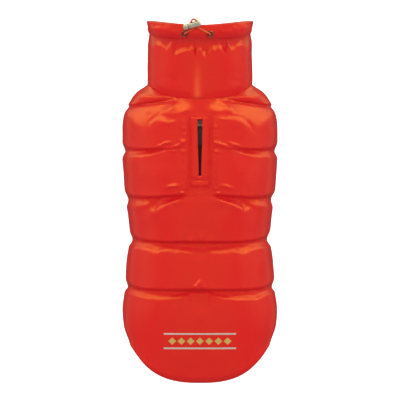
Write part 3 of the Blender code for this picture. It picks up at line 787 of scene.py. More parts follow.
    def quilt_y(self, seam: Seam, angle: Array) -> Array:
        """Where a quilting seam lies along Y at each angle."""
        sine = np.where(np.abs(angle) < math.pi / 2, np.minimum(np.abs(np.sin(angle)), 1.0), 1.0)
        return np.minimum(seam.y(sine), self.neck.y(angle) - self.narrowest_channel)

    def side_angle(self, y: Array) -> Array:
        """The back panel's edge, as an angle."""
        return np.radians(np.interp(-y, [-row[0] for row in self.back_edge], [row[1] for row in self.back_edge]))

    def tail_end_y(self, x: Array) -> Array:
        """Where the tail's round hem lies along Y at a distance from the middle."""
        share = np.minimum(np.abs(x) / self.tail_half_width, 1.0)
        return self.tail_start - self.tail_length * (1.0 - share**self.tail_power) ** 0.5

    def middle_angle(self, x: Array, y: Array) -> Array:
        """The angle at which the back's inner face lies over a place near the middle."""
        half_width = self.body_inner(np.full_like(x, math.pi / 2), y)[0][..., 0]
        return np.arcsin(np.clip((np.abs(x) / half_width) ** (SECTION_POWER / 2), 0, 1)) * np.sign(x)

    def centre_z(self, x: Array, y: Array) -> Array:
        """Height of the back's inner face at places near the middle of the back."""
        return self.body_inner(self.middle_angle(x, y), y)[0][..., 2]


# -------- creases

def soft_noise(u: Array, v: Array, cell: tuple[float, float], seed: int, round_length: float = 0.0) -> Array:
    """Smooth noise from -1 to 1 over a flat cloth.

    Args:
        u: places across the cloth.
        v: places along it.
        cell: size of the noise's cells across and along.
        seed: the seed of its numbers.
        round_length: the cloth's length across where it closes on itself, else 0.

    Returns:
        The noise at each place.
    """
    generator = np.random.default_rng(seed)
    lattice = generator.uniform(-1.0, 1.0, (97, 89))
    count = max(round(round_length / cell[0]), 1) if round_length else 0
    a = u / (round_length / count) if count else u / cell[0]
    b = v / cell[1]
    a0, b0 = np.floor(a), np.floor(b)
    fa, fb = a - a0, b - b0
    fa = fa**3 * (fa * (fa * 6 - 15) + 10)
    fb = fb**3 * (fb * (fb * 6 - 15) + 10)

    def corner(i: Array, j: Array) -> Array:
        """The lattice's number at a corner."""
        wrapped = np.mod(i, count) if count else i
        return lattice[np.mod(wrapped, 97).astype(int), np.mod(j, 89).astype(int)]

    low = corner(a0, b0) * (1 - fa) + corner(a0 + 1, b0) * fa
    high = corner(a0, b0 + 1) * (1 - fa) + corner(a0 + 1, b0 + 1) * fa
    return low * (1 - fb) + high * fb


@dataclass(frozen=True)
class Crease:
    """A ridge, or a trough where its height is negative, along a line of (x, y) places."""

    height: float
    width: float
    line: tuple
    lee: float = 1.0
    mirrored: bool = False
    unevenness: float = 0.6
    noise_cell: tuple = (5.0, 5.0)
    end_share: float = 0.02
    end_power: float = 0.6

    def relief(self, u: Array, v: Array) -> Array:
        """The crease's height at each place of the cloth, on both sides if it is mirrored."""
        return self._one(u, v) + self._one(-u, v) if self.mirrored else self._one(u, v)

    def _one(self, u: Array, v: Array) -> Array:
        """Work out one side's crease, tapered to its ends.

        Args:
            u: places across the cloth.
            v: places along it.

        Returns:
            Its height at each place.
        """
        pairs = list(zip(self.line, self.line[1:]))
        whole = sum(math.dist(a, b) for a, b in pairs)
        nearest = np.full(u.shape, np.inf)
        side, along = np.zeros(u.shape), np.zeros(u.shape)
        done = 0.0
        for a, b in pairs:
            length = math.dist(a, b)
            dx, dy = (b[0] - a[0]) / length, (b[1] - a[1]) / length
            t = np.clip((u - a[0]) * dx + (v - a[1]) * dy, 0.0, length)
            ox, oy = u - a[0] - dx * t, v - a[1] - dy * t
            distance = np.hypot(ox, oy)
            closer = distance < nearest
            nearest = np.where(closer, distance, nearest)
            side = np.where(closer, dx * oy - dy * ox, side)
            along = np.where(closer, (done + t) / whole, along)
            done += length
        width = np.where(side < 0.0, self.width * self.lee, self.width)
        taper = np.sin(math.pi * np.clip(along, self.end_share, 1.0 - self.end_share)) ** self.end_power
        seed = int(abs(self.line[0][0] * 7.0 + self.line[0][1] * 3.0)) + 101
        uneven = 1.0 + self.unevenness * soft_noise(along * whole, along * 0.0, self.noise_cell, seed)
        return self.height * bell(nearest, width) * taper * uneven


@dataclass(frozen=True)
class Gather:
    """A gather that starts at a seam and runs away from it."""

    x: float
    height: float
    width: float
    reach: float
    lean: float = 0.0
    spread: float = 0.7
    front_power: float = 0.55

    def relief(self, u: Array, away: Array) -> Array:
        """Work out the gather.

        Args:
            u: places across the cloth.
            away: their distances from the seam.

        Returns:
            Its height at each place.
        """
        along = reach(away, self.reach)
        across = u - self.x - self.lean * along
        shape = bell(across, self.width * (1.0 + self.spread * along))
        return self.height * shape * np.sin(math.pi * along**self.front_power)


def relief_of(folds: Iterable[Crease | Gather], u: Array, v: Array) -> Array:
    """The summed height of several creases or gathers."""
    return sum((fold.relief(u, v) for fold in folds), np.zeros(u.shape))


def creases(unevenness: float, *rows: tuple) -> tuple[Crease, ...]:
    """Creases from rows of (height, width, place, place, ...)."""
    return tuple(Crease(row[0], row[1], row[2:], unevenness=unevenness) for row in rows)


def gathers(*rows: tuple) -> tuple[Gather, ...]:
    """Gathers from rows of (x, height, width, reach) or (x, height, width, reach, lean)."""
    return tuple(Gather(*row) for row in rows)


# -------- meshes

def linked(name: str, data: Any) -> bpy.types.Object:
    """Put an object at the origin, in the scene.

    Args:
        name: its name.
        data: its mesh, light or camera.

    Returns:
        The object.
    """
    made = bpy.data.objects.new(name, data)
    bpy.context.scene.collection.objects.link(made)
    return made


def object_of(name: str, mesh: bpy.types.Mesh, finish: Finish) -> bpy.types.Object:
    """An object at the origin with one finish."""
    mesh.materials.append(finish.material)
    return linked(name, mesh)


def smooth_shade(made: bpy.types.Object, angle: float = 55.0) -> None:
    """Smooth shading, with edges kept sharp from an angle in degrees."""
    made.data.shade_smooth()
    made.data.set_sharp_from_angle(angle=math.radians(angle))


@dataclass
class Wall:
    """A closed wall between an inner and an outer grid of points."""

    name: str
    inner: Array
    outer: Array
    place: Array
    keep: Array | None = None
    round_length: Array | None = None

    def build(self, finish: Finish) -> bpy.types.Object:
        """Make the wall with its cloth coordinates. It closes on itself where its round length is given.

        Args:
            finish: the wall's finish.

        Returns:
            The object.
        """
        rows, columns = self.outer.shape[:2]
        spans = columns - 1 if self.round_length is None else columns
        r, c = np.meshgrid(np.arange(rows - 1), np.arange(spans), indexing="ij")
        d = (c + 1) % columns
        quads = np.stack([r * columns + c, r * columns + d, (r + 1) * columns + d, (r + 1) * columns + c], axis=-1)
        uv = self.place.reshape(-1, 2)[quads]
        if self.round_length is not None:
            uv[:, -1, 1, 0] = self.round_length[:-1]
            uv[:, -1, 2, 0] = self.round_length[1:]
        keep = np.ones(r.shape, bool) if self.keep is None else self.keep
        quads, uv = quads[keep], uv[keep]
        flat = self.outer.reshape(-1, 3)
        corner = flat[quads]
        facing = np.cross(corner[:, 1] - corner[:, 0], corner[:, 3] - corner[:, 0])
        outward = flat[quads[:, 0]] - self.inner.reshape(-1, 3)[quads[:, 0]]
        if np.sum(facing * outward) < 0.0:
            quads, uv = quads[:, ::-1], uv[:, ::-1]
        return self._mesh(quads, uv, finish)

    def _mesh(self, quads: Array, uv: Array, finish: Finish) -> bpy.types.Object:
        """Close the two sheets along their free edges and make the object.

        Args:
            quads: the outer sheet's faces.
            uv: their cloth coordinates.
            finish: the wall's finish.

        Returns:
            The object.
        """
        total = self.outer.shape[0] * self.outer.shape[1]
        starts = quads.reshape(-1)
        ends = np.roll(quads, -1, axis=1).reshape(-1)
        start_uv = uv.reshape(-1, 2)
        end_uv = np.roll(uv, -1, axis=1).reshape(-1, 2)
        free = ~np.isin(starts * total + ends, ends * total + starts)
        a, b = starts[free], ends[free]
        rim = np.stack([b, a, a + total, b + total], axis=-1)
        rim_uv = np.stack([end_uv[free], start_uv[free], start_uv[free], end_uv[free]], axis=1)
        faces = np.concatenate([quads, quads[:, ::-1] + total, rim])
        face_uv = np.concatenate([uv, uv[:, ::-1], rim_uv])
        used, faces = np.unique(faces, return_inverse=True)
        points = np.concatenate([self.outer.reshape(-1, 3), self.inner.reshape(-1, 3)])[used] * MM
        mesh = bpy.data.meshes.new(self.name)
        mesh.from_pydata(points.tolist(), [], faces.reshape(-1, 4).tolist())
        layer = mesh.uv_layers.new(name=CLOTH_UV)
        layer.data.foreach_set("uv", face_uv.reshape(-1).astype(np.float32))
        mesh.update()
        made = object_of(self.name, mesh, finish)
        smooth_shade(made)
        return made


# -------- quilted back

@dataclass(frozen=True)
class Crumple:
    """Soft unevenness of the cloth: its height, the size of its swells across and along, and its seed."""

    height: float
    cell: tuple[float, float]
    seed: int

    def relief(self, u: Array, v: Array, round_length: float = 0.0) -> Array:
        """The unevenness at each place of the cloth."""
        return self.height * soft_noise(u, v, self.cell, self.seed, round_length)


def near_seam(away: Array, fade: float, ramp: float) -> Array:
    """How strongly fine puckers show at distances from a seam: 0 on it, then most, then fading."""
    return np.exp(-away / fade) * np.minimum(away / ramp, 1.0)


@dataclass(frozen=True)
class Slit:
    """The leash slit in the back, which the placket covers."""

    half_width: float = 11.0
    front: float = -8.0
    end: float = -80.5

    def covers(self, x: Array, y: Array, margin: float = 0.0) -> Array:
        """Whether places lie over the slit, widened by a margin."""
        return (np.abs(x) < self.half_width + margin) & (y < self.front) & (y > self.end)


@dataclass
class QuiltedBack:
    """The quilted back with its sides and round tail flap."""

    form: CoatForm
    slit: Slit
    slit_ramp: float = 7.0
    slit_margin: float = 0.2
    slit_end_margin: float = 0.5
    slit_end_stretch: float = 0.45
    slit_wall: float = 4.4
    thinnest_padding: float = -0.8
    puff_back: float = 6.2
    puff_side: float = 3.0
    tail_puff: float = 4.0
    tail_side_puff: float = 2.6
    step_height: float = 4.6
    whole_step: float = 8.6
    slow_rise: float = 26.0
    rear_slope: float = 2.8
    rear_side_slope: float = 10.5
    short_channel: float = 20.0
    edge_roll: float = 0.07
    tail_edge_roll: float = 0.12
    tail_edge_power: float = 0.6
    tail_hem_roll: float = 0.06
    tail_hem_power: float = 1.5
    shoulder_rise: float = 16.0
    shoulder_closed: tuple = (18.0, 20.0)
    middle_width: float = 16.0
    valley: tuple = (0.8, -20.0, 14.0)
    collar_pad: float = 3.8
    collar_pad_length: float = 20.0
    collar_pad_power: float = 1.3
    shoulder_crease: float = 2.6
    shoulder_crease_width: float = 2.1
    shoulder_crease_start: tuple = (20.0, 16.0)
    rib_fold: Crease = Crease(0.9, 3.4, ((8, -89), (21, -92), (33, -96.5), (46, -104)), mirrored=True)
    warp_across: Crumple = Crumple(1.3, (9.0, 7.0), 81)
    warp_along: Crumple = Crumple(1.0, (8.0, 9.0), 83)
    pucker_height: float = 0.24
    pucker_cell: tuple = (4.2, 15.0)
    finest_puckers: Crumple = Crumple(0.5, (2.6, 9.0), 5)
    pucker_fade: tuple = (6.5, 1.5)
    crumple: Crumple = Crumple(0.30, (17.0, 13.0), 3)
    spacing: float = 1.1
    seen_wider: float = 1.07
    cloth_level: float = 4.0
    middle_columns: int = 28
    side_columns: int = 64
    # Rows of faces and their bunching at the seams, from the wedge at the neck to the tail flap.
    channel_rows: tuple = ((12, 0.3), (52, 0.3), (46, 0.35), (32, 0.55), (32, 0.55), (52, 0.55))

    def row_shares(self) -> tuple[Array, Array]:
        """List the rows from neck to tail, closer together beside the seams.

        Returns:
            Each row's channel, and its share of the way through that channel.
        """
        shares = [eased(count, bunching)[:-1] for count, bunching in self.channel_rows]
        shares[-1] = np.append(shares[-1], 1.0)
        return np.repeat(np.arange(len(shares)), [len(part) for part in shares]), np.concatenate(shares)

    def column_angles(self, half_width: Array, edge: Array) -> Array:
        """Place the right-hand columns: even steps across the middle, then even angles.

        Args:
            half_width: each row's half width.
            edge: the angle of each row's end.

        Returns:
            The angles of every row's columns.
        """
        middle = np.arange(self.middle_columns + 1) * self.spacing
        inner = np.arcsin((middle[None, :] / half_width[:, None]) ** (SECTION_POWER / 2))
        start = inner[:, -1:]
        outer = start + (edge[:, None] - start) * np.linspace(0.0, 1.0, self.side_columns + 1)[None, 1:]
        return np.concatenate([inner, outer], axis=1)

    def grid(self) -> tuple[Array, Array, Array, Array]:
        """Lay out the samples.

        Returns:
            Their angles, places along Y, channels and shares of the way through them.
        """
        form = self.form
        channel, share = self.row_shares()
        middle = self.row_y(channel, share, np.zeros((len(share), 1)))[:, 0]
        side = self.row_y(channel, share, np.full((len(share), 1), math.pi / 2))[:, 0]
        half_width = form.body_inner(np.full(len(share), math.pi / 2), middle)[0][..., 0]
        last = form.side_angle(np.array(form.seams[-1].side))
        tail_edge = last + (math.pi / 2 - last) * share**self.tail_hem_power
        edge = np.where(channel == len(form.seams), tail_edge, form.side_angle(side))
        right = self.column_angles(half_width, edge)
        angle = np.concatenate([-right[:, :0:-1], right], axis=1)
        y = self.snap_to_slit(self.row_y(channel, share, angle))
        return angle, y, np.broadcast_to(channel[:, None], angle.shape), np.broadcast_to(share[:, None], angle.shape)

    def row_y(self, channel: Array, share: Array, angle: Array) -> Array:
        """Place rows along Y.

        Args:
            channel: each row's channel.
            share: its share of the way through it.
            angle: each row's angles.

        Returns:
            Where every sample lies along Y.
        """
        form = self.form
        y = np.zeros(angle.shape)
        for k in range(len(form.seams) + 1):
            pick = channel == k
            a = angle[pick]
            front = form.quilt_y(form.seams[k - 1], a) if k else form.neck.y(a) - form.seam_gap
            if k < len(form.seams):
                end = form.quilt_y(form.seams[k], a)
            else:
                column = np.clip(a / np.maximum(np.abs(a).max(axis=1, keepdims=True), 1e-6), -1, 1)
                hem, hem_normal = oval(column * math.pi / 2, *form.body[-1][1:])
                wide = a.shape[1] > 1
                end = form.tail_end_y(hem[..., 0] + hem_normal[..., 0] * form.seam_wall if wide else hem[..., 0] * 0)
            y[pick] = front + (end - front) * share[pick][:, None]
        return y

    def snap_to_slit(self, y: Array) -> Array:
        """Lay the rows nearest to the slit's two ends on them.

        Args:
            y: places along Y.

        Returns:
            The moved places.
        """
        y = y.copy()
        columns = np.abs(np.arange(y.shape[1]) - y.shape[1] // 2)
        for place in (self.slit.front, self.slit.end):
            for c in np.flatnonzero(columns * self.spacing <= self.slit.half_width + 0.01):
                y[np.argmin(np.abs(y[:, c] - place)), c] = place
        return y

    def height(self, angle: Array, y: Array, channel: Array, share: Array, point: Array, u: Array) -> Array:
        """Work out the wall's thickness.

        Args:
            angle: angles from the middle of the back.
            y: places along the coat.
            channel: the samples' channels.
            share: their shares of the way through them.
            point: their points on the inner face.
            u: places across the flat cloth.

        Returns:
            The thickness at every sample.
        """
        form = self.form
        level = np.minimum(np.abs(angle), math.pi / 2)
        column = np.abs(angle) / np.abs(angle).max(axis=1, keepdims=True)
        near_edge = np.minimum((1.0 - column) / self.edge_roll, 1.0) ** 0.5
        x = point[..., 0] * self.seen_wider
        quilted = np.zeros(angle.shape)
        for k in range(len(form.seams)):
            quilted = np.where(channel == k, self.channel_height(k, angle, level, x, share, near_edge), quilted)
        quilted = np.where(channel <= 1, self.closed_shoulder(quilted, x, y, angle, level), quilted)
        full = self.puff_at(level, self.tail_side_puff, self.tail_puff)
        rise = self.rise_behind(FRONT_SLOPES[-1], x, form.quilt_y(form.seams[-1], angle) - y, full)
        roll = np.minimum((1.0 - share) / self.tail_hem_roll, 1.0) ** 0.5
        near_side = np.minimum((1.0 - column) / self.tail_edge_roll, 1.0) ** self.tail_edge_power
        padding = np.where(channel == len(form.seams), full * rise * roll * near_side,
                           quilted + self.rib_fold.relief(x, y))
        padding = padding + self.folds(u, x, y, angle) * near_edge
        away = self.slit_relief(point[..., 0], y)
        wall = self.slit_wall * (1.0 - away) + (form.seam_wall + padding) * away
        return np.maximum(wall, form.seam_wall + self.thinnest_padding)

    @staticmethod
    def puff_at(level: Array, side: float, back: float) -> Array:
        """A channel's full height at each angle, from its heights at the sides and over the back."""
        return side + (back - side) * np.cos(level) ** 2

    def rear_fall(self, level: Array) -> Array:
        """How long the padding takes to fall to the seam behind it, longer towards the sides."""
        return self.rear_slope + (self.rear_side_slope - self.rear_slope) * np.sin(level) ** 8

    def channel_height(self, k: int, angle: Array, level: Array, x: Array, share: Array, near_edge: Array) -> Array:
        """Work out one channel's padding.

        Args:
            k: the channel's number from the neck.
            angle: angles from the middle of the back.
            level: the same, with the sides below the widest place levelled.
            x: places across.
            share: shares of the way through the channel.
            near_edge: 0 at the panel's edge and 1 away from it.

        Returns:
            The height over a plain wall at every sample.
        """
        form = self.form
        front = form.quilt_y(form.seams[k - 1], angle) if k else form.neck.y(angle) - form.seam_gap
        front_wall = form.seams[k - 1].wall if k else form.seam_wall
        length = front - form.quilt_y(form.seams[k], angle)
        short = np.minimum(length / self.short_channel, 1.0)
        full = self.puff_at(level, self.puff_side, self.puff_back) * np.minimum(length / form.wide_channel, 1.0)
        rise = self.rise_behind(FRONT_SLOPES[k], x, share * length / short, full)
        fall = swell((1.0 - share) * length / ((self.rear_fall(level) if k else self.rear_slope) * short))
        rise = 1.0 - (1.0 - rise) * (self.seam_strength(k - 1, x) if k > 1 else 1.0)
        fall = 1.0 - (1.0 - fall) * (self.seam_strength(k, x) ** 2 if k else 1.0)
        seam_wall = front_wall * (1 - share) + form.seams[k].wall * share
        return seam_wall - form.seam_wall + full * rise * fall * near_edge

    def rise_behind(self, rows: tuple, x: Array, behind: Array, full: Array) -> Array:
        """Raise the padding behind a seam: a quick step, then a slow swell.

        Args:
            rows: rows of (x, where the step starts, how long it takes).
            x: places across.
            behind: distances behind the seam.
            full: the padding's full height.

        Returns:
            The share of the full height.
        """
        places, starts, lengths = np.array(rows, dtype=float).T
        length = np.interp(x, places, lengths)
        step = swell((behind - np.interp(x, places, starts)) / length)
        quick = np.minimum(self.step_height * np.minimum(length / self.whole_step, 1.0) / np.maximum(full, 0.1), 1.0)
        return quick * step + (1.0 - quick) * swell(behind / self.slow_rise)

    @staticmethod
    def seam_strength(k: int, x: Array) -> Array:
        """How far a seam is pulled down at places across, as a share."""
        inner, outer, least = SEAM_STRENGTHS[k]
        return least + (1.0 - least) * swell((np.abs(x) - inner) / (outer - inner))

    def closed_shoulder(self, quilted: Array, x: Array, y: Array, angle: Array, level: Array) -> Array:
        """Close the padding over the shoulders, where the first seam dies out towards the middle.

        Args:
            quilted: the padding with the seam all through.
            x: places across.
            y: places along the coat.
            angle: angles from the middle of the back.
            level: the same, with the sides below the widest place levelled.

        Returns:
            The padding's height.
        """
        form = self.form
        away = form.neck.y(angle) - y
        middle = bell(x, self.middle_width)
        depth, start, length = self.valley
        valley = depth * middle * swell((y - start) / length)
        puff = self.puff_at(level, self.puff_side, self.puff_back)
        whole = puff * swell(away / self.shoulder_rise) * (1.0 - valley)
        pad = self.collar_pad * middle * reach(self.collar_pad_length - away,
                                               self.collar_pad_length) ** self.collar_pad_power
        inner, span = self.shoulder_closed
        kept = swell((np.abs(x) - inner) / span)
        fall = swell((y - form.quilt_y(form.seams[1], angle)) / self.rear_fall(level))
        fall = 1.0 - (1.0 - fall) * self.seam_strength(1, x) ** 2
        return quilted * kept + whole * fall * (1.0 - kept) + pad

    def folds(self, u: Array, x: Array, y: Array, angle: Array) -> Array:
        """Add up the creases, puckers and tucks.

        Args:
            u: places across the flat cloth.
            x: places across the coat.
            y: places along it.
            angle: angles from the middle of the back.

        Returns:
            Their height at every sample.
        """
        form = self.form
        total = relief_of(BACK_CREASES, x + self.warp_across.relief(x, y), y + self.warp_along.relief(x, y))
        finest = self.finest_puckers.relief(u, y)
        for seam, behind, before in zip(form.seams, PUCKERS_BEHIND, PUCKERS_BEFORE):
            away = y - form.quilt_y(seam, angle)
            total = total + np.where(away < 0.0, relief_of(behind, x, -away), 0.0)
            total = total + np.where(away > 0.0, relief_of(before, x, away), 0.0)
            fine = soft_noise(u, y, self.pucker_cell, 11 + int(-seam.side)) + finest
            total = total + self.pucker_height * fine * near_seam(np.abs(away), *self.pucker_fade)
        away = y - form.quilt_y(form.seams[0], angle)
        start, span = self.shoulder_crease_start
        strength = swell((np.abs(x) - start) / span) * (1.0 - np.abs(np.sin(angle)) ** 8)
        total = total - self.shoulder_crease * bell(away, self.shoulder_crease_width) * strength
        for side, tucks in zip((-1, 1), SLIT_TUCKS):
            beside = relief_of(tucks, -y, np.abs(x) - self.slit.half_width - 1.0)
            total = total + np.where(x * side > 0.0, beside, 0.0)
        return total + self.crumple.relief(u, y)

    def slit_relief(self, x: Array, y: Array) -> Array:
        """Free the wall away from the leash slit.

        Args:
            x: places across.
            y: places along the coat.

        Returns:
            0 beside the slit, where the wall is stitched down, and 1 away from it.
        """
        slit = self.slit
        away_x = np.maximum(np.abs(x) - slit.half_width - self.slit_margin, 0.0)
        past_end = (slit.end - self.slit_end_margin - y) * self.slit_end_stretch
        away_y = np.maximum(np.maximum(y - slit.front - self.slit_end_margin, past_end), 0.0)
        share = np.minimum(np.hypot(away_x, away_y) / self.slit_ramp, 1.0)
        return np.sin(share * math.pi / 2) ** 1.3

    def build(self) -> bpy.types.Object:
        """Make the back panel's wall.

        Returns:
            The object.
        """
        angle, y, channel, share = self.grid()
        point, normal = self.form.body_inner(angle, y)
        u = across_length(point + normal * self.cloth_level, angle.shape[1] // 2)
        outer = point + normal * self.height(angle, y, channel, share, point, u)[..., None]
        centre = (outer[:-1, :-1] + outer[1:, 1:]) / 2
        inside = self.slit.covers(centre[..., 0], centre[..., 1])
        return Wall("back_shell", point, outer, np.stack([u, y], axis=-1), keep=~inside).build(Finish.TAIL)


# The padding's quick step behind the neck and each seam, as rows of (x, where it starts, how long it takes).
FRONT_SLOPES = (
    ((-80, 0, 8), (80, 0, 8)),
    ((-80, -9, 11), (-71, -5, 15), (-60, 0, 30), (-48, 0, 34), (-34, 0, 22), (34, 0, 22), (48, 0, 34), (60, 0, 30),
     (71, -5, 15), (80, -9, 11)),
    ((-80, -2, 9), (-66, -1.6, 8.6), (-58, -1, 7.6), (-50, -0.5, 6.2), (-43, 0.1, 4.2), (-36, 0, 3), (-30, 0, 2.2),
     (31, 0, 2.2), (38, 0, 3.2), (45, 0.1, 4.8), (52, -0.6, 6.8), (60, -1.2, 8), (68, -1.6, 8.6), (80, -2, 9)),
    ((-80, -0.4, 9.4), (-66, 0, 9), (-58, 0.2, 7.6), (-52, 0.4, 5.6), (-50.4, 0.6, 4.4), (-48.4, 5.6, 6.4),
     (-45, 6.6, 9.6), (-41, 4, 10.4), (-33, 0.6, 9.6), (-26, -0.6, 7.4), (-12, -0.6, 6), (-7, 0, 4), (6, 0, 4),
     (11, -0.6, 6), (24, -0.6, 7.4), (33, 0.6, 9.6), (41, 3.8, 10.4), (45, 6.4, 9.6), (48.4, 5.4, 6.4),
     (50.4, 0.6, 4.4), (52, 0.4, 5.6), (58, 0.2, 7.6), (66, 0, 9), (80, -0.4, 9.4)),
    ((-80, -2, 8), (-68, 0.2, 7.6), (-62, 0.8, 7), (-50, 1, 7.4), (-45, 2.4, 9.9), (-42, 2.4, 9.9), (-38, 0.8, 8),
     (-34, 1, 8.4), (-29, 0.8, 9.6), (-25, 0.6, 13), (-21, 1, 10.8), (-14, 1.8, 10.4), (-9, 1.2, 12), (-4, 0.4, 17),
     (6, 0.4, 17), (11, 1, 12), (15, 1.8, 10.6), (20, 1.8, 10.6), (24, 1, 12), (28, 0.8, 12), (32, 1.4, 9),
     (37, 1.8, 9), (42, 3, 10.1), (46, 3, 10.1), (50, 1, 7.6), (56, 0.6, 7), (66, 0.6, 7.4), (80, -2, 8)),
    ((-80, -2, 5.6), (-68, 0.2, 5.4), (-60, 1.4, 5.6), (-54, 2.4, 6.6), (-46, 2.2, 7.4), (-39, 3, 7.4), (-31, 1.8, 7.6),
     (-25, 1.7, 7), (-18, 0.8, 6.6), (-13, 0.2, 5.2), (-9, 0, 2.2), (8, 0, 2.2), (12, 0, 5.2), (17, 0.8, 6.8),
     (24, 2.2, 7.2), (31, 2.4, 7.6), (38, 3.2, 7.4), (45, 2.8, 7.2), (51, 3, 7.2), (57, 3.8, 6.4), (63, 1.8, 5.6),
     (70, 0.2, 5.4), (80, -2, 5.6)),
)

# How each seam dies out towards the middle: where it starts to show, where it is whole, and its least strength.
SEAM_STRENGTHS = ((14, 36, 0), (24, 52, 0.12), (5, 30, 0.25), (0, 1, 1), (0, 1, 1))

# Creases of the back: over the shoulders, on the chest and ribs, round the slit's end, at the hip and on the tail.
BACK_CREASES = (
    Crease(2.9, 4.0, ((32, 12.6), (46, 13.2), (62, 12.6)), mirrored=True, unevenness=0.2),
    *creases(0.2, (1.3, 3.4, (-19, 9), (-24, 4), (-35, -3)), (1.6, 3.8, (19, 9), (25, 4), (33, -4))),
    Crease(-0.9, 1.8, ((-46, -7.6), (-40, -6.5), (-30, -8.2), (-14, -7.2), (0, -4.5)), lee=3.0, unevenness=0.3),
    Crease(-0.9, 1.8, ((0, -4.5), (14, -7), (22, -5.2), (35, -8), (44, -10.2)), lee=3.0, unevenness=0.3),
    *creases(0.3, (-0.5, 1.5, (-50, -18.5), (-49, -11.5), (-42, -7)),
             (-0.6, 1.5, (41, -9.2), (50, -17), (56, -25), (61, -30)),
             (1.1, 1.5, (-38, -13.4), (-31, -14.2), (-24, -13)), (0.8, 1.3, (17, -9.6), (26, -10.6), (35, -12.6))),
    *creases(0.6, (-0.7, 1.6, (-52, -2), (-50.5, -8)), (-0.6, 1.6, (-41, -1.5), (-39.5, -6)),
             (0.35, 1.6, (-49.5, -19.5), (-45.5, -13.5), (-40, -10.5)),
             (0.3, 1.6, (36, -12.2), (43, -14.2), (49, -21)), (0.6, 1.3, (-34, -40.6), (-21, -36.6)),
             (0.6, 1.3, (-31, -42.8), (-15, -42.2)), (0.6, 1.3, (15, -42.4), (27, -43)),
             (0.2, 2.2, (26, -56), (40, -64)), (-0.2, 2.0, (-24, -52), (-44, -57)),
             (0.25, 1.8, (-26, -67), (-38, -61)), (-0.4, 1.8, (22, -70), (44, -66)),
             (2.8, 1.3, (-18, -79.4), (-13.4, -77.4)), (2.8, 1.3, (13.4, -77.6), (18, -79.8)),
             (1.8, 1.3, (-20.5, -84), (-15.5, -82)), (1.8, 1.3, (15.5, -82.2), (20.5, -84.4)),
             (1.6, 1.3, (-2.6, -83.6), (2.6, -83)), (0.5, 4.0, (0, -196), (-1, -212))),
    *creases(0.2, (1.5, 1.4, (-26, -37.6), (-14, -34)), (1.7, 1.5, (-41, -37), (-26, -33.6)),
             (1.5, 1.4, (13, -33), (22, -36.6), (32, -40)), (1.7, 1.5, (27, -33.4), (41, -37)),
             (2.2, 2.2, (-33, -79), (-19, -76.4)), (2.2, 2.2, (19, -76.4), (33, -79.4))),
    Crease(-0.9, 1.7, ((39, -89), (45, -93.6), (52, -100)), mirrored=True),
    Crease(1.0, 3.0, ((29, -92.4), (39, -96.4), (48, -103.6)), mirrored=True, unevenness=0.2),
    *creases(0.1, (3.2, 2.2, (-5.5, -180), (-1.5, -175.6), (0.4, -170.5)),
             (2.4, 2.2, (8, -180), (3.6, -176.6), (0.6, -171.5))),
)

# Tucks beside the leash slit, left and right, placed by how far they lie behind the origin.
SLIT_TUCKS = (
    gathers((19.6, 1.9, 1.3, 8, 1), (25.8, 1.9, 1.3, 8), (33.6, 2.4, 1.6, 10, -1.5), (42.6, 1.7, 1.2, 9, 1),
            (51.6, 1.5, 1.2, 7), (60.5, 0.9, 1.4, 8), (69, 1.5, 1.5, 8, 1), (75.5, 1.7, 1.5, 8, -1.5)),
    gathers((18.6, 1.8, 1.3, 8), (22.8, 1.7, 1.2, 7, 1), (27.8, 1.9, 1.3, 8), (33.8, 2.3, 1.5, 9, 1.5),
            (42.5, 1.6, 1.2, 9, 1), (52, 1, 1.4, 8), (61, 0.8, 1.5, 8), (68, 1.4, 1.5, 8), (75, 1.7, 1.5, 8, -1.5)),
)

# Puckers that start at each seam, behind it and in front of it.
PUCKERS_BEHIND = (
    (), (),
    gathers((-64, 0.5, 3, 12, 3), (-56, 0.5, 2.4, 10, 2), (58, 0.5, 2.6, 11, -2), (66, 0.5, 2.4, 12, -2)),
    gathers((-44, 0.5, 2.8, 16), (-34.5, 0.6, 2, 24), (-21.6, 0.3, 2.8, 12), (11, 0.3, 3, 12), (36.5, 0.6, 2, 24),
            (43.6, 0.5, 2.8, 16)),
    gathers((-60, 0.3, 3, 10), (-38, 0.3, 3.4, 9), (38, 0.3, 3.4, 9), (54, 0.5, 2.2, 11)),
)
PUCKERS_BEFORE = (
    (), (),
    gathers((-40, 0.5, 2.4, 9), (-28, 0.5, 2.2, 8), (30, 0.5, 2.2, 8), (43, 0.5, 2.4, 9)),
    gathers((-9.8, 1.5, 2, 7, 1.5), (0.8, 1.9, 2, 12), (11, 1.3, 2, 8)),
    gathers((-30, 0.4, 2.6, 8), (-0.6, 1.8, 2.6, 6), (28, 0.4, 2.6, 8)),
)


# -------- belly

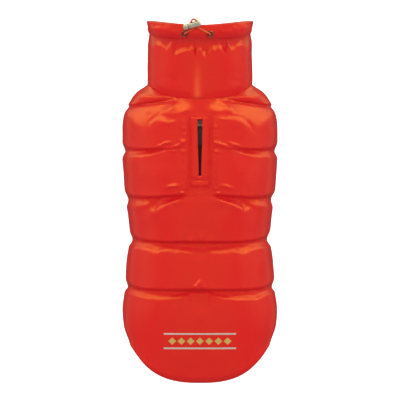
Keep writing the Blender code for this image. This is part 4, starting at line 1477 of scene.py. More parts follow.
@dataclass
class BellyPanel:
    """The chest and belly panel between the side seams, scooped out round each foreleg."""

    form: CoatForm
    leg_hole_middle: float = -28.0
    leg_hole_half_length: float = 22.0
    leg_hole_angle: float = math.radians(36.0)
    seam_gap_angle: float = math.radians(0.45)
    puff: float = 3.0
    edge_roll: float = 0.2
    columns: int = 120
    front_rows: int = 16
    spacing: float = 1.25
    leg_hole_rows: tuple = (-49.4, -49.8)
    cloth_level: float = 4.0
    pucker_height: float = 0.4
    pucker_cell: tuple = (3.0, 16.0)
    pucker_fade: tuple = (7.0, 1.5)
    crumple: Crumple = Crumple(0.3, (15.0, 12.0), 29)

    def edge(self, y: Array) -> Array:
        """The panel's edge, as an angle."""
        place = np.minimum(np.abs(y - self.leg_hole_middle) / self.leg_hole_half_length, 1.0)
        return self.form.side_angle(y) + self.seam_gap_angle + self.leg_hole_angle * (1.0 - place**3) ** 0.6

    @staticmethod
    def channel_puff(share: Array) -> Array:
        """A channel's height from one seam to the next, fullest on its front half."""
        return np.clip(1.0 - np.abs(2.0 * np.clip(share, 0.0, 1.0) ** 0.9 - 1.0) ** 3.2, 0.0, 1.0) ** 0.5

    def height(self, u: Array, y: Array, angle: Array, near_edge: Array) -> Array:
        """Work out the wall's thickness.

        Args:
            u: places across the flat cloth.
            y: places along the coat.
            angle: angles from the middle of the back.
            near_edge: 0 at the panel's edge and 1 away from it.

        Returns:
            The thickness at every sample.
        """
        form = self.form
        seams = [form.neck.y(angle), *(np.full(y.shape, seam.side) for seam in form.seams[:4]),
                 np.full(y.shape, form.belly_end)]
        wall = np.full(y.shape, form.seam_wall)
        for k, (front, back) in enumerate(zip(seams, seams[1:])):
            length = front - back
            full = self.puff * np.minimum(length / form.wide_channel, 1.0)
            puffed = full * self.channel_puff((front - y) / length) * near_edge
            wall = wall + np.where((y > back) & (y <= front), puffed, 0.0)
            fine = soft_noise(u, y, self.pucker_cell, 23 + k) * near_seam(np.abs(y - back), *self.pucker_fade)
            wall = wall + self.pucker_height * fine * near_edge
        return wall + self.crumple.relief(u, y) * near_edge

    def build(self) -> bpy.types.Object:
        """Make the belly panel's wall.

        Returns:
            The object.
        """
        form = self.form
        chest_y = form.body[0][0]
        ends = np.arange(chest_y, form.belly_end, -self.spacing)
        ends = np.unique(np.concatenate([ends, [*self.leg_hole_rows, form.belly_end]]))[::-1]
        share = np.concatenate([np.linspace(0.0, 1.0, self.front_rows + 1)[:-1], np.ones(len(ends))])[:, None]
        end = np.concatenate([np.full(self.front_rows, chest_y), ends])[:, None]
        neck_at_edge = form.neck.y(form.side_angle(np.array(chest_y))) - form.seam_gap
        edge = self.edge(neck_at_edge + (end - neck_at_edge) * share)
        column = np.linspace(-1.0, 1.0, self.columns + 1)[None, :]
        angle = math.pi + column * (math.pi - edge)
        neck = form.neck.y(angle) - form.seam_gap
        y = neck + (end - neck) * share
        point, normal = form.body_inner(angle, y)
        u = across_length(point + normal * self.cloth_level, self.columns // 2)
        near_edge = np.minimum((1.0 - np.abs(column)) / self.edge_roll, 1.0) ** 0.5
        outer = point + normal * self.height(u, y, angle, near_edge)[..., None]
        return Wall("belly_shell", point, outer, np.stack([u, y], axis=-1)).build(Finish.SHELL)


# -------- collar

# Pleats below the casing, as rows of (x, how far below the seam they rise, how long they take to rise).
COLLAR_PLEATS = (
    (-52, 0, 16), (-45, 0, 14), (-41, 1, 9), (-37, 2.2, 6), (-33, 5.6, 6), (-31, 5.6, 9), (-27, 0.6, 8), (-25, 1.6, 11),
    (-23.4, 9.8, 8), (-20.5, 9.6, 7), (-17, 8, 6.4), (-13, 7.4, 6), (-9.6, 6.6, 6.4), (-7.4, 4, 9), (-5.6, 3.6, 10),
    (-4.6, 9.6, 10), (-2.8, 6, 8), (-1, 3.6, 8.4), (1.2, 5.4, 8.6), (3, 10.6, 8), (5.4, 11, 10), (7.6, 8, 8),
    (9.6, 7, 6), (12.6, 3.6, 8.6), (14.4, 5.4, 8), (17.6, 2.4, 10), (20, 4.6, 8.6), (23, 9.8, 7), (24.2, 5.6, 9),
    (25.6, 0.2, 7), (27.4, 0.8, 9), (28.6, 5.6, 9), (31.6, 5.6, 7), (35, 2.8, 6.4), (38.4, 1, 8), (43, 0, 14),
    (52, 0, 16),
)

# Creases of the collar: its bent flats, and short troughs between the pleats.
COLLAR_CREASES = (
    Crease(-0.5, 6.0, ((14, 42), (18, 18)), mirrored=True),
    Crease(0.5, 7.0, ((34, 48), (36, 20)), mirrored=True),
    *creases(0.6, (-0.4, 2.5, (24, 32), (38, 24)), (-0.4, 2.5, (-20, 27), (-36, 33)),
             (-1.0, 1.1, (-23, 68.5), (-22, 61.5)), (-0.9, 1.0, (-17.6, 68.5), (-18.4, 63)),
             (-1.0, 1.0, (-11, 68), (-10.4, 60.5)), (-1.1, 1.1, (-6.2, 68), (-5, 59)), (-0.9, 1.0, (1, 68), (0.6, 62)),
             (-1.2, 1.2, (6.6, 68), (5.6, 57.5)), (-0.9, 1.0, (11, 68), (11.4, 63.5)),
             (-1.0, 1.0, (15.6, 68.5), (16, 62.5)), (-0.9, 1.0, (21.6, 68.5), (22.4, 61.5))),
    Crease(-0.8, 1.1, ((31, 68.5), (30, 64)), mirrored=True),
)


@dataclass
class NeckTube:
    """The tall padded collar and the narrow drawcord casing at its rim."""

    form: CoatForm
    collar_puff: float = 3.4
    collar_base: float = 1.2
    collar_least: float = 0.10
    collar_thinnest: float = 0.2
    pull_in: float = 2.0
    pull_in_unevenness: float = 3.0
    pull_out: float = 13.0
    pull_out_unevenness: float = 1.5
    side_pleats: Crumple = Crumple(1.0, (3.3, 9.0), 41)
    finer_side_pleats: Crumple = Crumple(0.5, (1.9, 9.0), 43)
    base_roll: float = 9.0
    base_kept: float = 0.25
    base_kept_middle: float = 0.42
    base_kept_width: float = 14.0
    base_kept_side: float = 0.5
    base_puckers: Crumple = Crumple(0.35, (4.2, 10.0), 47)
    base_fade: tuple = (5.0, 1.2)
    collar_crumple: Crumple = Crumple(0.25, (13.0, 11.0), 53)
    ridge_x: float = -2.6
    ridge_width: float = 3.3
    ridge_height: float = 2.4
    ridge_start: float = 46.0
    ridge_length: float = 32.0
    ridge_foot: float = 2.5
    ear: float = 1.3
    casing_puff: float = 2.4
    casing_base: float = 1.0
    casing_side: float = 0.8
    casing_dome: float = 0.58
    casing_fall: tuple = (0.3, 0.6)
    casing_rim_roll: float = 0.07
    casing_fuller: tuple = (0.5, 2.3, 17.0, 10.0)
    casing_crumple: Crumple = Crumple(0.45, (8.5, 3.2), 61)
    casing_fine: Crumple = Crumple(0.35, (3.6, 5.0), 67)
    fine_half_angle: float = 62.0
    fine_columns: int = 150
    coarse_columns: int = 130
    collar_rows: int = 66
    casing_rows: int = 22
    row_bunching: float = 0.5
    cloth_level: float = 4.0
    closing_stretch: float = 1.08
    calm_radius: float = 5.0
    calm_ramp: float = 4.0
    eyelets: tuple = ((-13.6, 74.2), (8.9, 73.7))

    def columns(self) -> Array:
        """Space the columns closely over the back, where the gathers are.

        Returns:
            Their angles round the neck.
        """
        fine = np.linspace(-self.fine_half_angle, self.fine_half_angle, self.fine_columns + 1)
        coarse = np.linspace(self.fine_half_angle, 360.0 - self.fine_half_angle, self.coarse_columns + 1)[1:-1]
        return np.radians(np.concatenate([fine, coarse]))

    def tube(self, name: str, near: Ring, far: Ring, rows: int, gap: float,
             height: Callable[..., Array]) -> bpy.types.Object:
        """Make one band of the tube.

        Args:
            name: the piece's name.
            near: the ring at its start.
            far: the ring at its end.
            rows: rows of faces along it.
            gap: the width of the seam gaps at its two ends.
            height: works out the wall from angle, share, place round, y and x.

        Returns:
            The band's object.
        """
        angle, share = np.meshgrid(self.columns(), eased(rows, self.row_bunching))
        point, normal = self.form.tube_inner(near, far, share, angle, gap * (0.5 - share))
        u = across_length(point + normal * self.cloth_level)
        whole = u[:, -1] + np.linalg.norm(point[:, 0] - point[:, -1], axis=-1) * self.closing_stretch
        outer = point + normal * height(angle, share, u, point[..., 1], point[..., 0])[..., None]
        place = np.stack([u, point[..., 1]], axis=-1)
        return Wall(name, point, outer, place, round_length=whole).build(Finish.COLLAR)

    def collar_height(self, angle: Array, share: Array, u: Array, y: Array, x: Array) -> Array:
        """Work out the collar's wall.

        Args:
            angle: angles from the middle of the back.
            share: shares of the way from the neck seam to the casing.
            u: places round the flat cloth.
            y: places along the coat.
            x: places across.

        Returns:
            The wall's thickness at every sample.
        """
        form = self.form
        length = form.casing.y(angle) - form.neck.y(angle)
        below, foot = (1.0 - share) * length, share * length
        around = float(u.max())
        over = np.clip(np.cos(angle) * 4.0, 0.0, 1.0)
        places, starts, climbs = np.array(COLLAR_PLEATS, dtype=float).T
        flat = u * 0.0
        pleats = self.side_pleats.relief(u, flat, around) + self.finer_side_pleats.relief(u, flat, around)
        side_start = self.pull_in + self.pull_in_unevenness * pleats
        side_climb = self.pull_out + self.pull_out_unevenness * pleats
        start = np.interp(x, places, starts) * over + side_start * (1.0 - over)
        climb = np.interp(x, places, climbs) * over + side_climb * (1.0 - over)
        rise = reach(below - start, climb)
        rise = rise * rise * (3.0 - 2.0 * rise)
        roll = np.sin(math.pi / 2 * reach(foot, self.base_roll)) ** 1.2
        full = self.collar_base + self.collar_puff * np.cos(angle) ** 2
        kept = (self.base_kept + self.base_kept_middle * bell(x, self.base_kept_width) * over
                + self.base_kept_side * np.abs(np.sin(angle)) ** 10)
        risen = self.collar_least + (1.0 - self.collar_least) * rise
        wall = form.seam_wall + full * risen * (kept + (1.0 - kept) * roll)
        ridge = reach(self.ridge_start - y, self.ridge_length) ** 1.2 * bell(x - self.ridge_x, self.ridge_width) * over
        wall = wall + self.ridge_height * ridge * np.minimum(foot / self.ridge_foot, 1.0)
        wall = wall + self.base_puckers.relief(u, flat, around) * near_seam(foot, *self.base_fade)
        wall = wall + self.collar_crumple.relief(u, y, around) * rise
        wall = wall + relief_of(COLLAR_CREASES, x, y) * over
        return np.maximum(wall, form.seam_wall + self.collar_thinnest)

    def casing_height(self, angle: Array, share: Array, u: Array, y: Array, x: Array) -> Array:
        """Work out the casing's wall, calm round the eyelets and with an ear at each side of the rim.

        Args:
            angle: angles from the middle of the back.
            share: shares of the way from the casing's seam to its rim.
            u: places round the flat cloth.
            y: places along the coat.
            x: places across.

        Returns:
            The wall's thickness at every sample.
        """
        depth, start = self.casing_fall
        dome = np.sin(math.pi / 2 * np.minimum(share / self.casing_dome, 1.0))
        dome = dome * (1.0 - depth * np.maximum(share - start, 0.0) / (1.0 - start))
        dome = dome * np.minimum((1.0 - share) / self.casing_rim_roll, 1.0) ** 0.5
        least, more, inner, span = self.casing_fuller
        over_back = self.casing_base + (self.casing_puff + least + more * swell((np.abs(x) - inner) / span)) * dome
        at_side = self.casing_base + self.casing_side * np.minimum(share * 5.0, 1.0) + self.ear * share**2
        beside = np.abs(np.sin(angle)) ** 5
        wall = self.form.seam_wall + over_back * (1.0 - beside) + at_side * beside
        around = float(u.max())
        crumple = self.casing_crumple.relief(u, y, around) + self.casing_fine.relief(u, y, around)
        calm = np.ones(x.shape)
        for place in self.eyelets:
            away = np.hypot(x - place[0], y - place[1]) - self.calm_radius
            near = (away < self.calm_ramp) & (np.cos(angle) > 0.0)
            calm = np.where(near, np.minimum(calm, reach(away, self.calm_ramp)), calm)
        return wall + crumple * calm * dome

    def build(self) -> list[bpy.types.Object]:
        """Make the collar and the casing.

        Returns:
            Both objects.
        """
        form = self.form
        return [self.tube("collar_shell", form.neck, form.casing, self.collar_rows, form.seam_gap,
                          self.collar_height),
                self.tube("casing_shell", form.casing, form.rim, self.casing_rows, form.seam_gap / 2,
                          self.casing_height)]


# -------- repeats

class Repeat:
    """A Geometry Nodes tree that sets small rounded solids along lines and realizes them."""

    inputs = {"Pitch": "Float", "Width": "Float", "Length": "Float", "Height": "Float", "Unevenness": "Float",
              "Sides": "Int", "Seed": "Int", "Material": "Material"}
    bead_rings = 4

    def __init__(self, name: str) -> None:
        """Build the tree with its named inputs.

        Args:
            name: the tree's name.
        """
        self.tree = bpy.data.node_groups.new(name, "GeometryNodeTree")
        face = self.tree.interface
        face.new_socket("Geometry", in_out="INPUT", socket_type="NodeSocketGeometry")
        self.identifiers = {label: face.new_socket(label, in_out="INPUT", socket_type="NodeSocket" + kind).identifier
                            for label, kind in self.inputs.items()}
        face.new_socket("Geometry", in_out="OUTPUT", socket_type="NodeSocketGeometry")
        self._wire()

    def _add(self, kind: str, settings: dict[str, Any] | None = None,
             **inputs: Any) -> bpy.types.bpy_prop_collection:
        """Add a node, with inputs by name, or by index after an underscore, and give its outputs."""
        places = {int(key[1:]) if key.startswith("_") else key: value for key, value in inputs.items()}
        return add_node(self.tree, kind, settings, places)

    def _wire(self) -> None:
        """Link the tree from its lines to the finished solids."""
        add = self._add
        start = add("NodeGroupInput")
        line = add("GeometryNodeMeshToCurve", Mesh=start["Geometry"])
        even = add("GeometryNodeResampleCurve", {"mode": "LENGTH"}, Curve=line[0], Length=start["Pitch"])
        tangent = add("GeometryNodeInputTangent")
        turn = add("FunctionNodeAlignRotationToVector", {"axis": "Y"}, Vector=tangent[0])
        bead = add("GeometryNodeMeshUVSphere", Segments=start["Sides"], Rings=self.bead_rings, Radius=0.5)
        least = add("ShaderNodeMath", {"operation": "SUBTRACT"}, _0=1.0, _1=start["Unevenness"])
        most = add("ShaderNodeMath", {"operation": "ADD"}, _0=1.0, _1=start["Unevenness"])
        uneven = add("FunctionNodeRandomValue", {"data_type": "FLOAT"}, Min=least[0], Max=most[0], Seed=start["Seed"])
        size = add("ShaderNodeCombineXYZ", X=start["Width"], Y=start["Length"], Z=start["Height"])
        scale = add("ShaderNodeVectorMath", {"operation": "SCALE"}, _0=size[0], Scale=uneven[1])
        spread = add("GeometryNodeInstanceOnPoints", Points=even[0], Instance=bead[0], Rotation=turn[0], Scale=scale[0])
        real = add("GeometryNodeRealizeInstances", Geometry=spread[0])
        smooth = add("GeometryNodeSetShadeSmooth", Geometry=real[0])
        dressed = add("GeometryNodeSetMaterial", Geometry=smooth[0], Material=start["Material"])
        add("NodeGroupOutput", Geometry=dressed[0])

    def along(self, name: str, lines: Sequence[Array], finish: Finish, pitch: float, size: tuple,
              unevenness: float, sides: int, seed: int) -> bpy.types.Object:
        """Set solids along lines.

        Args:
            name: the piece's name.
            lines: arrays of points in millimetres.
            finish: the solids' finish.
            pitch: the distance between two solids.
            size: a solid's width, length along the line, and height.
            unevenness: the share by which sizes differ.
            sides: faces round a solid.
            seed: the seed of the differences.

        Returns:
            One plain mesh object.
        """
        firsts = np.cumsum([0] + [len(line) for line in lines])
        edges = [(k, k + 1) for first, after in zip(firsts, firsts[1:]) for k in range(first, after - 1)]
        mesh = bpy.data.meshes.new(name + "_lines")
        mesh.from_pydata((np.concatenate(lines) * MM).tolist(), edges, [])
        guide = linked(name + "_lines", mesh)
        modifier = guide.modifiers.new("repeat", "NODES")
        modifier.node_group = self.tree
        values = (pitch * MM, *(side * MM for side in size), unevenness, sides, seed, finish.material)
        for label, value in zip(self.inputs, values):
            modifier[self.identifiers[label]] = value
        evaluated = guide.evaluated_get(bpy.context.evaluated_depsgraph_get())
        result = bpy.data.meshes.new_from_object(evaluated)
        result.name = name
        bpy.data.objects.remove(guide, do_unlink=True)
        bpy.data.meshes.remove(mesh)
        result.materials.clear()
        return object_of(name, result, finish)


# -------- leash zip

# Creases across the lips behind the slit.
LIP_CREASES = (
    *creases(0.2, (-1.5, 1.3, (-10, -71.5), (10, -71.5)), (1.5, 1.5, (-11.5, -76), (0.5, -76.4)),
             (1.5, 1.5, (-0.5, -76.4), (10.5, -76))),
    Crease(0.9, 1.3, ((2.5, -66), (10, -67.5)), mirrored=True),
)

# Tucks in the lips' outer edges, placed by how far they lie behind the origin.
LIP_TUCKS = gathers((19, 0.7, 1.7, 7), (26.5, 0.8, 1.6, 6.5), (34.5, 0.9, 1.7, 7), (43, 0.7, 1.6, 6),
                    (52, 0.8, 1.7, 6.5), (61, 0.7, 1.6, 6), (69, 0.5, 1.5, 5.5))


@dataclass
class ZipPlacket:
    """The leash slit: two padded lips over a zip with its slider and pull tab."""

    form: CoatForm
    slit: Slit
    repeat: Repeat
    lip_gap_front: float = 2.05
    lip_gap_end: float = 1.15
    lip_close_start: float = -30.0
    lip_close_length: float = 34.0
    lip_tuck_under: float = 0.5
    lip_share: float = 0.84
    lip_sink: float = 0.1
    lip_front_width: float = 3.0
    lip_rear_width: float = 13.5
    lip_level: float = 2.5
    lip_wall: float = 1.7
    lip_dome: float = 2.0
    lip_fall_power: float = 3.5
    lip_edge_height: float = 0.55
    lip_edge_share: float = 0.12
    lip_cloth_width: float = 8.0
    lip_swelling: Crumple = Crumple(0.1, (20.0, 5.0), 71)
    lip_crumple: Crumple = Crumple(0.12, (3.0, 3.4), 73)
    tuck_height: float = 0.3
    tuck_inset: float = 1.6
    side_stations: int = 96
    end_stations: int = 22
    lip_rows: int = 20
    chain_end_gap: float = 1.4
    chain_stations: int = 60
    coil_x: float = 0.62
    coil_level: float = 2.14
    tooth_pitch: float = 1.15
    tooth: tuple = (2.3, 0.72, 0.60)
    tape_seam_x: float = 2.75
    tape_level: float = 1.2
    tape_pitch: float = 1.6
    tape_stitch: tuple = (0.34, 1.3, 0.24)
    slider_y: float = -15.2
    slider_level: float = 2.5
    slope_span: float = 5.0
    plate: tuple = ((2.1, 2.6), (1.2, 3.7), (-1.2, 3.7), (-2.1, 2.6), (-1.9, -2.2), (-1.6, -3.7), (1.6, -3.7),
                    (1.9, -2.2))
    plate_levels: tuple = (0.9, 1.6)
    plate_bevel: float = 0.28
    rail: tuple = ((2.1, 2.4), (1.6, 2.6), (1.3, -3.3), (1.7, -3.4), (2.0, -2.0))
    rail_height: float = 1.0
    lug_x: float = 1.75
    lug_width: float = 0.6
    lug_foot: float = 1.5
    lug_radius: float = 1.25
    lug_faces: int = 8
    pin_radius: float = 0.5
    pin_length: float = 3.7
    hinge_offset: float = -2.4
    hinge_level: float = 5.8
    eye_radius: float = 1.35
    eye_bore: float = 0.85
    eye_width: float = 2.4
    neck: tuple = ((1.2, -1.0), (1.2, -4.4), (-1.2, -4.4), (-1.2, -1.0))
    neck_levels: tuple = (-0.5, 0.5)
    tongue_start: tuple = ((1.6, -3.4), (1.85, -4.4))
    tongue_half_width: float = 1.85
    tongue_end: float = -17.6
    tongue_end_length: float = 1.3
    tongue_end_faces: int = 12
    tongue_levels: tuple = (-0.5, 0.38)
    tongue_bevel: float = 0.16
    rim_width: float = 0.5
    rim_levels: tuple = (0.3, 0.52)
    rib_count: int = 6
    rib_start: float = -8.0
    rib_pitch: float = 1.5
    rib_half: tuple = (1.1, 0.35)
    rib_levels: tuple = (0.3, 0.56)
    tab_rest_angle: float = math.radians(6.5)

    def lip_gap(self, y: Array) -> Array:
        """Half the width between the lips at places along the zip."""
        share = reach(self.lip_close_start - y, self.lip_close_length)
        return self.lip_gap_front + (self.lip_gap_end - self.lip_gap_front) * share * share * (3.0 - 2.0 * share)

    def stations(self) -> Array:
        """Lay out places round a rectangle, down one side and up the other.

        Returns:
            The places as shares of its half sizes.
        """
        down = [(1.0, 1.0 - 2.0 * k / self.side_stations) for k in range(self.side_stations)]
        across = [(1.0 - 2.0 * k / self.end_stations, -1.0) for k in range(self.end_stations)]
        half = np.array(down + across)
        return np.concatenate([half, -half])

    def lip_height(self, x: Array, y: Array, across: Array) -> Array:
        """Work out the lips' padding, with its tucks and creases.

        Args:
            x: places across the coat.
            y: places along it.
            across: shares of the way from the lips' inner edges to their outer ones.

        Returns:
            The height at every sample.
        """
        edge = self.lip_edge_height
        dome = edge + (1.0 - edge) * np.minimum(across / self.lip_edge_share, 1.0) ** 0.5
        dome = dome * (1.0 - reach(across, self.lip_share) ** self.lip_fall_power)
        wall = self.lip_wall + self.lip_dome * dome * (1.0 + self.lip_swelling.relief(x, y))
        tucks = relief_of(LIP_TUCKS, -y, np.maximum(self.slit.half_width - self.tuck_inset - np.abs(x), 0.0))
        folds = self.tuck_height * tucks * np.minimum(across * 3.0, 1.0)
        return wall + (folds + self.lip_crumple.relief(x, y) + relief_of(LIP_CREASES, x, y)) * dome

    def lips(self) -> bpy.types.Object:
        """Make the lips.

        Returns:
            The object.
        """
        slit = self.slit
        station = self.stations()[None, :, :]
        across = np.linspace(0.0, 1.0, self.lip_rows + 1)[:, None]
        gap_front, gap_rear = slit.front - self.lip_front_width, slit.end + self.lip_rear_width
        gap_y = (gap_front + gap_rear) / 2 + (gap_front - gap_rear) / 2 * station[..., 1]
        gap_x = self.lip_gap(gap_y) * station[..., 0]
        edge_x = (slit.half_width + self.lip_tuck_under) * station[..., 0]
        half_length = (slit.front - slit.end) / 2 + self.lip_tuck_under
        edge_y = (slit.front + slit.end) / 2 + half_length * station[..., 1]
        x = gap_x + (edge_x - gap_x) * across
        y = gap_y + (edge_y - gap_y) * across
        level = self.lip_level - self.lip_sink * reach(across - self.lip_share, 1.0 - self.lip_share)
        base = np.stack([x, y, self.form.centre_z(x, y) + level], axis=-1)
        outer = base.copy()
        outer[..., 2] += self.lip_height(x, y, across)
        length = across_length(np.concatenate([outer, outer[:, :1]], axis=1))
        place = np.stack([length[:, :-1], np.broadcast_to(across * self.lip_cloth_width, x.shape)], axis=-1)
        return Wall("placket_lips", base, outer, place, round_length=length[:, -1]).build(Finish.SHELL)

    def chain_line(self, x: float, level: float) -> Array:
        """A line along the zip at a place across and a level over the coat's inner face."""
        y = np.linspace(self.slit.front - self.chain_end_gap, self.slit.end + self.chain_end_gap, self.chain_stations)
        return np.stack([np.full_like(y, x), y, self.form.centre_z(np.zeros_like(y), y) + level], axis=-1)

    def teeth(self) -> list[bpy.types.Object]:
        """Make the chain's coil and the tapes' stitching.

        Returns:
            Both objects.
        """
        coil = [self.chain_line(-self.coil_x, self.coil_level), self.chain_line(self.coil_x, self.coil_level)[1:]]
        seams = [self.chain_line(side * self.tape_seam_x, self.tape_level) for side in (-1, 1)]
        return [self.repeat.along("zip_coil", coil, Finish.TAPE, self.tooth_pitch, self.tooth, 0.04, 8, 3),
                self.repeat.along("zip_tape_stitches", seams, Finish.TAPE, self.tape_pitch, self.tape_stitch,
                                  0.1, 6, 5)]

    def slope(self) -> float:
        """Work out the back's slope at the slider.

        Returns:
            The slope along Y, as a turn about X.
        """
        span = self.slope_span
        z = self.form.centre_z(np.zeros(2), np.array([self.slider_y + span, self.slider_y - span]))
        return math.atan2(float(z[0] - z[1]), 2 * span)

    def base(self) -> Vector:
        """The place on the coat's inner face under the slider."""
        z = self.form.centre_z(np.zeros(1), np.array([self.slider_y]))
        return Vector((0.0, self.slider_y, float(z[0])))

    def hinge(self) -> Vector:
        """The pull tab's hinge."""
        offset = Matrix.Rotation(self.slope(), 3, "X") @ Vector((0.0, self.hinge_offset, self.hinge_level))
        return self.base() + offset

    def slider(self) -> bpy.types.Object:
        """Make the slider: a plate over two flanges, and the hinge pin between its lugs.

        Returns:
            The object.
        """
        bm = bmesh.new()
        level = self.slider_level
        low, high = self.plate_levels
        bevel(bm, slab(bm, self.plate, level + low, level + high), self.plate_bevel, 3)
        y, middle, radius = self.hinge_offset, self.hinge_level, self.lug_radius
        arc = [math.pi * k / self.lug_faces for k in range(self.lug_faces + 1)]
        lug = [(y + radius, level + self.lug_foot)]
        lug += [(y + radius * math.cos(turn), middle + radius * math.sin(turn)) for turn in arc]
        lug.append((y - radius, level + self.lug_foot))
        for side in (-1, 1):
            slab(bm, [(side * x, y) for x, y in self.rail], level, level + self.rail_height)
            faces = [side * self.lug_x - self.lug_width / 2, side * self.lug_x + self.lug_width / 2]
            joined(bm, [[(x, a, b) for a, b in lug] for x in faces])
        turn = Matrix.Translation((0.0, y, middle)) @ Matrix.Rotation(math.pi / 2, 4, "Y")
        bmesh.ops.create_cone(bm, cap_ends=True, segments=16, radius1=self.pin_radius, radius2=self.pin_radius,
                              depth=self.pin_length, matrix=turn)
        return solid_of("slider_body", bm, Finish.GUNMETAL, self.base(), self.slope())

    def pull_tab(self) -> bpy.types.Object:
        """Make the pull tab: an eye round the pin and a long tongue with a rim and grip ribs.

        Returns:
            The object.
        """
        bm = bmesh.new()
        ring_along_x(bm, self.eye_radius, self.eye_bore, self.eye_width)
        slab(bm, self.neck, *self.neck_levels)
        turns = [math.pi * k / self.tongue_end_faces for k in range(self.tongue_end_faces + 1)]
        end = [(self.tongue_half_width * math.cos(turn), self.tongue_end - self.tongue_end_length * math.sin(turn))
               for turn in turns]
        tongue = [*self.tongue_start, *end, *((-x, y) for x, y in self.tongue_start[::-1])]
        bevel(bm, slab(bm, tongue, *self.tongue_levels), self.tongue_bevel, 2)
        rim_band(bm, tongue, self.rim_width, *self.rim_levels)
        a, b = self.rib_half
        for k in range(self.rib_count):
            y = self.rib_start - self.rib_pitch * k
            slab(bm, [(a, y + b), (a, y - b), (-a, y - b), (-a, y + b)], *self.rib_levels)
        return solid_of("pull_tab_body", bm, Finish.TAB, self.hinge(), self.slope() + self.tab_rest_angle)


def joined(bm: bmesh.types.BMesh, rings: Sequence[Sequence], closed: bool = False) -> list[bmesh.types.BMFace]:
    """Join rings of places with faces.

    Args:
        bm: the mesh.
        rings: rings with one number of corners.
        closed: whether the last ring joins the first. Otherwise both are capped.

    Returns:
        The faces.
    """
    made = [[bm.verts.new(place) for place in ring] for ring in rings]
    faces = [] if closed else [bm.faces.new(made[-1]), bm.faces.new(made[0][::-1])]
    for a, b in zip(made, made[1:] + made[:1] if closed else made[1:]):
        for k in range(len(a)):
            j = (k + 1) % len(a)
            faces.append(bm.faces.new((a[k], a[j], b[j], b[k])))
    bmesh.ops.recalc_face_normals(bm, faces=faces)
    return faces


def slab(bm: bmesh.types.BMesh, outline: Sequence[tuple], low: float, high: float) -> list[bmesh.types.BMEdge]:
    """Add a flat plate with an outline (x, y) between two levels.

    Args:
        bm: the mesh.
        outline: the plate's corners.
        low: its lower level.
        high: its upper level.

    Returns:
        The plate's edges.
    """
    faces = joined(bm, [[(x, y, level) for x, y in outline] for level in (low, high)])
    return list({edge for face in faces for edge in face.edges})


def bevel(bm: bmesh.types.BMesh, edges: list[bmesh.types.BMEdge], width: float, segments: int) -> None:
    """Round edges off."""
    bmesh.ops.bevel(bm, geom=edges, offset=width, segments=segments, affect="EDGES", clamp_overlap=True)


def rim_band(bm: bmesh.types.BMesh, outline: Sequence[tuple], width: float, low: float, high: float) -> None:
    """Add a raised band just inside an outline.

    Args:
        bm: the mesh.
        outline: the band's outer corners.
        width: its width.
        low: its lower level.
        high: its upper level.
    """
    middle = sum(y for _, y in outline) / len(outline)
    inner = [(x - math.copysign(min(width, abs(x)), x), y - math.copysign(width, y - middle)) for x, y in outline]
    rings = ((outline, low), (outline, high), (inner, high), (inner, low))
    joined(bm, [[(x, y, level) for x, y in ring] for ring, level in rings], closed=True)


def ring_along_x(bm: bmesh.types.BMesh, radius: float, bore: float, width: float, chamfer: float = 0.2,
                 sides: int = 28) -> None:
    """Add a flat ring round the X axis.

    Args:
        bm: the mesh.
        radius: its outer radius.
        bore: its inner radius.
        width: its width.
        chamfer: the width of its outer chamfers.
        sides: faces round it.
    """
    half = width / 2
    section = [(bore, -half), (radius - chamfer, -half), (radius, chamfer - half),
               (radius, half - chamfer), (radius - chamfer, half), (bore, half)]
    turns = [FULL_TURN * k / sides for k in range(sides)]
    joined(bm, [[(x, r * math.cos(turn), r * math.sin(turn)) for r, x in section] for turn in turns], closed=True)


def solid_of(name: str, bm: bmesh.types.BMesh, finish: Finish, place: Vector | None = None,
             tilt: float = 0.0) -> bpy.types.Object:
    """Make an object from a mesh in millimetres.

    Args:
        name: the piece's name.
        bm: the mesh.
        finish: the piece's finish.
        place: where its origin goes.
        tilt: its turn about X.

    Returns:
        The object.
    """
    if place is not None:
        turn = Matrix.Translation(place) @ Matrix.Rotation(tilt, 4, "X")
        bmesh.ops.transform(bm, matrix=turn, verts=bm.verts)
    bmesh.ops.scale(bm, vec=(MM, MM, MM), verts=bm.verts)
    mesh = bpy.data.meshes.new(name)
    bm.to_mesh(mesh)
    bm.free()
    made = object_of(name, mesh, finish)
    smooth_shade(made, 40.0)
    return made


# -------- drawstring

